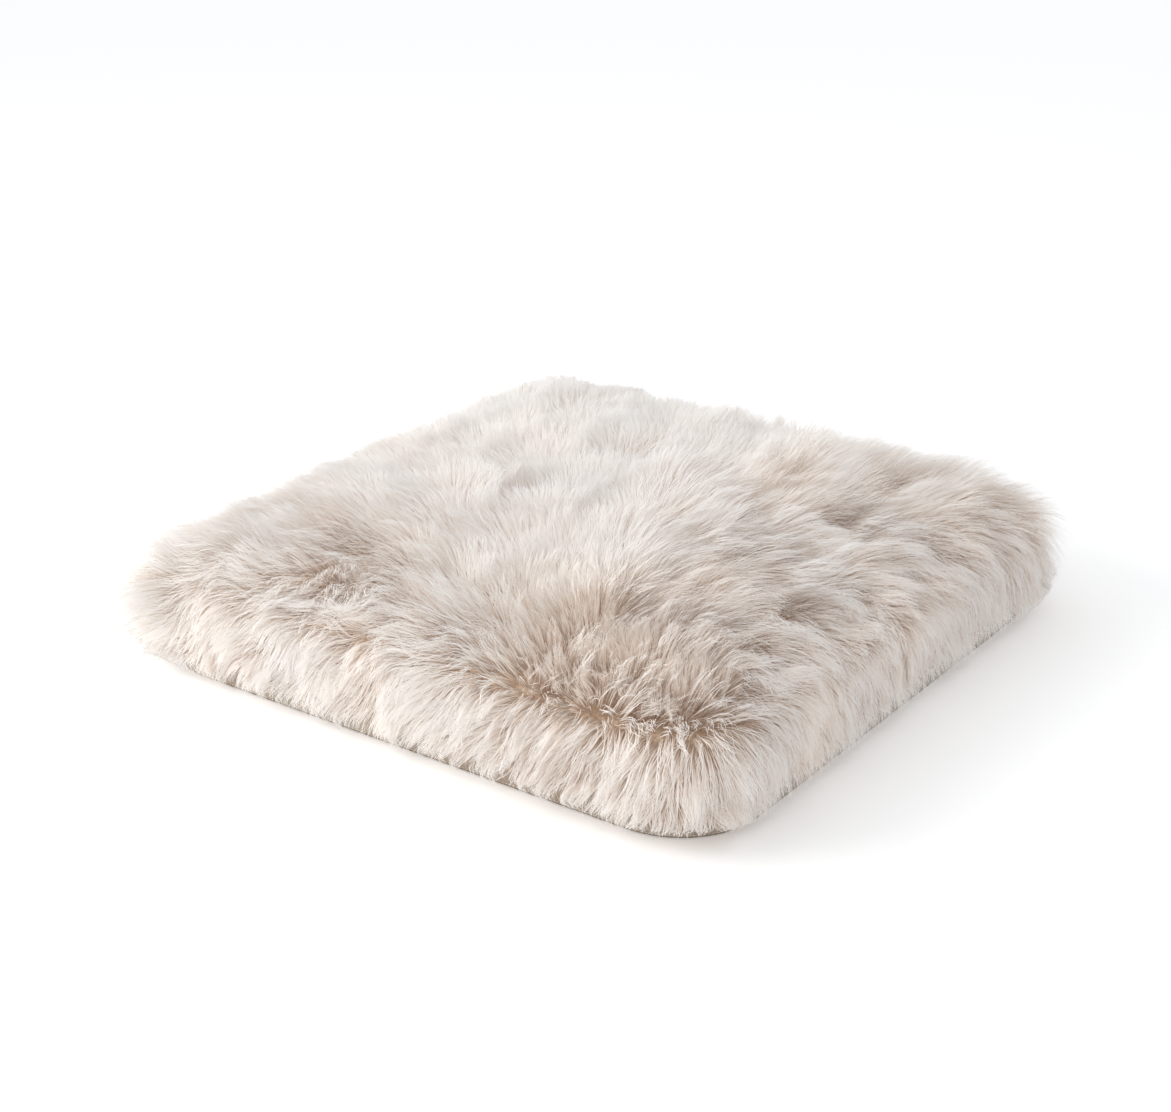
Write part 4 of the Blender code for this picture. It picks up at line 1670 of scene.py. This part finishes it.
@dataclass
class Insert:
    """The insert inside the cover: its liner, its waddings and its foam core."""

    hide: Hide
    slack: float = 0.006
    round_off: float = 0.012
    liner_base: float = 0.0045
    liner_drop: tuple[float, float] = (0.004, 0.014)
    filling_gap: float = 0.003
    filling_drop: tuple[float, float] = (0.006, 0.016)
    play: float = 0.001
    crown_rings: tuple[float, ...] = (0.12, 0.22, 0.34, 0.48, 0.64, 0.80, 0.94)

    def build(self) -> None:
        """Make each layer as a closed, rounded piece."""
        form = self.hide.form
        seam, top = form.seam_height, form.crown
        liner = ["liner_base", "liner_top", "liner_wall_front", "liner_wall_back", "liner_wall_left",
                 "liner_wall_right"]
        place = Layer(self.slack, self.liner_base, seam - self.liner_drop[0], top - self.liner_drop[1])
        self.layer("liner", liner, place, TICKING, "ticking", 0.8)
        inset = self.slack + self.filling_gap
        for node, finish, slot, fill in (
            ("base_wadding", FIBRE, "fibre", 0.5),
            ("foam_core", FOAM, "foam", 1.0),
            ("top_wadding", FIBRE, "fibre", 0.5),
        ):
            low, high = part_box(node)
            if node == "top_wadding":
                edge, crown = seam - self.filling_drop[0], top - self.filling_drop[1]
            else:
                edge, crown = high[2] - self.play, high[2] - self.play / 2
            place = Layer(inset, low[2] + self.play, edge, crown)
            self.layer(f"{node}_block", [node], place, finish, slot, fill)

    def layer(self, name: str, nodes: list[str], place: Layer, finish: Finish, slot: str,
              fill: float) -> None:
        """Loft one layer up from its base and over its crown.

        Args:
            name: Name of the piece.
            nodes: CAD nodes that it stands for.
            place: Where it is.
            finish: Its finish.
            slot: Its material slot.
            fill: How full it is; not used.
        """
        form, inset, base, edge = self.hide.form, place.inset, place.base, place.edge
        soft = min(self.round_off, (edge - base) / 2.5)
        turns = [(math.sin(math.radians(turn)), math.cos(math.radians(turn))) for turn in range(0, 91, 30)]
        stations = [(-0.2, base)]
        stations += [(-inset - soft * (1 - sin), base + soft * (1 - cos)) for sin, cos in turns]
        stations += [(-inset - soft * (1 - cos), edge - soft * (1 - sin)) for sin, cos in turns]
        for inward in self.crown_rings:
            share = 1 - (1 - inward) ** form.fullness
            stations.append((-inward * form.half, edge + (place.crown - edge) * share))
        made = Workroom(form.half, form.radius).finish(name, self.hide.loft(stations), finish, slot)
        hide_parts(*nodes)


def dress_frame() -> None:
    """Give every CAD node that is carried over the finish of its material slot."""
    for node in list(bpy.data.objects):
        if "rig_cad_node" not in node or node.hide_render:
            continue
        slot = node.data.materials[0].name
        node.data.materials.clear()
        node.data.materials.append(CARRIED_OVER[slot].material())
        LOG.info("%s: %s", node.name, slot)


# --- Studio ------------------------------------------------------------------------------------


@dataclass
class Studio:
    """Floor, lights and camera."""

    azimuth: float = 35.12
    elevation: float = 23.29
    distance: float = 2.690
    aim_height: float = 0.0731
    lens: float = 65.24
    aim_right: float = -0.01166
    aim_up: float = 0.00816
    lamps: tuple[tuple[str, tuple, float, float], ...] = (
        ("key", (-1.7, -1.8, 1.45), 1.8, 46.0),
        ("overhead", (0.1, 0.1, 3.0), 3.0, 3.0),
    )
    lamp_color: tuple = (1.0, 0.98, 0.95)
    lamp_aim: tuple = (0, 0, 0.1)
    sky_color: tuple = (0.97, 0.985, 1.0, 1.0)
    sky: float = 0.93
    backdrop: float = 1.06
    dim_side: tuple = (0.90, 0.43, 0.0)
    dimming: float = 0.55
    bounces: int = 8
    floor_reach: float = 30.0
    sensor: float = 36.0

    def build(self) -> None:
        """Set the stage."""
        self.floor()
        self.lights()
        self.camera()

    def floor(self) -> None:
        """Lay the floor."""
        mesh = bmesh.new()
        bmesh.ops.create_grid(mesh, x_segments=1, y_segments=1, size=self.floor_reach)
        data = take_mesh("floor", mesh)
        data.materials.append(FloorFinish("floor").material())
        add_object("floor", data)

    def lights(self) -> None:
        """Hang the soft key and fill, and light the room."""
        world = bpy.data.worlds.new("room")
        bpy.context.scene.world = world
        world.use_nodes = True
        back = world.node_tree.nodes["Background"]
        back.inputs["Color"].default_value = self.sky_color
        nodes = Nodes(world.node_tree)
        seen = nodes.add("ShaderNodeLightPath").outputs["Is Camera Ray"]
        way = nodes.add("ShaderNodeTexCoord").outputs["Generated"]
        toward = nodes.add("ShaderNodeVectorMath", operation="DOT_PRODUCT",
                           input_0=way, input_1=self.dim_side)
        dimmed = nodes.math("MAXIMUM", toward.outputs["Value"], 0.0)
        sky = nodes.math("MULTIPLY_ADD", dimmed, -self.dimming * self.sky, self.sky)
        spare = nodes.math("SUBTRACT", self.backdrop, sky)
        nodes.fill(back.inputs["Strength"], nodes.math("MULTIPLY_ADD", seen, spare, sky))
        for name, place, size, power in self.lamps:
            data = bpy.data.lights.new(name, "AREA")
            data.energy = power
            data.size = size
            data.color = self.lamp_color
            self.aim(add_object(name, data), Vector(place), Vector(self.lamp_aim) - Vector(place))

    def aim(self, thing: bpy.types.Object, place: Vector, way: Vector) -> None:
        """Stand a lamp or a camera at a place, looking a given way.

        Args:
            thing: The lamp or camera.
            place: Where it stands.
            way: The way that it looks.
        """
        thing.location = place
        thing.rotation_mode = "QUATERNION"
        thing.rotation_quaternion = way.to_track_quat("-Z", "Y")

    def camera(self) -> None:
        """Stand the camera a little above the near corner."""
        turn, rise = math.radians(self.azimuth), math.radians(self.elevation)
        back = Vector((math.sin(turn) * math.cos(rise), -math.cos(turn) * math.cos(rise), math.sin(rise)))
        right = Vector((math.cos(turn), math.sin(turn), 0))
        up = back.cross(right)
        data = bpy.data.cameras.new("camera")
        data.lens = self.lens
        data.sensor_width = self.sensor
        camera = add_object("camera", data)
        place = Vector((0, 0, self.aim_height)) + back * self.distance
        self.aim(camera, place, -back + right * self.aim_right + up * self.aim_up)
        scene = bpy.context.scene
        scene.camera = camera
        scene.view_settings.view_transform = "Standard"
        scene.cycles.max_bounces = self.bounces
        scene.cycles.diffuse_bounces = self.bounces


def main() -> None:
    """Build every piece in order and report it."""
    logging.basicConfig(level=logging.INFO, format="%(message)s")
    Studio().build()
    form = Form()
    hide = Hide(form)
    cushion = hide.build()
    LOG.info("%s: %d vertices", cushion.name, len(cushion.data.vertices))
    Fleece(cushion, form, Groom()).build()
    room = Workroom(form.half)
    Base(room).build()
    Zip(room).build()
    Insert(Hide(Form(radius=room.radius))).build()
    dress_frame()


if __name__ == "__main__":
    main()
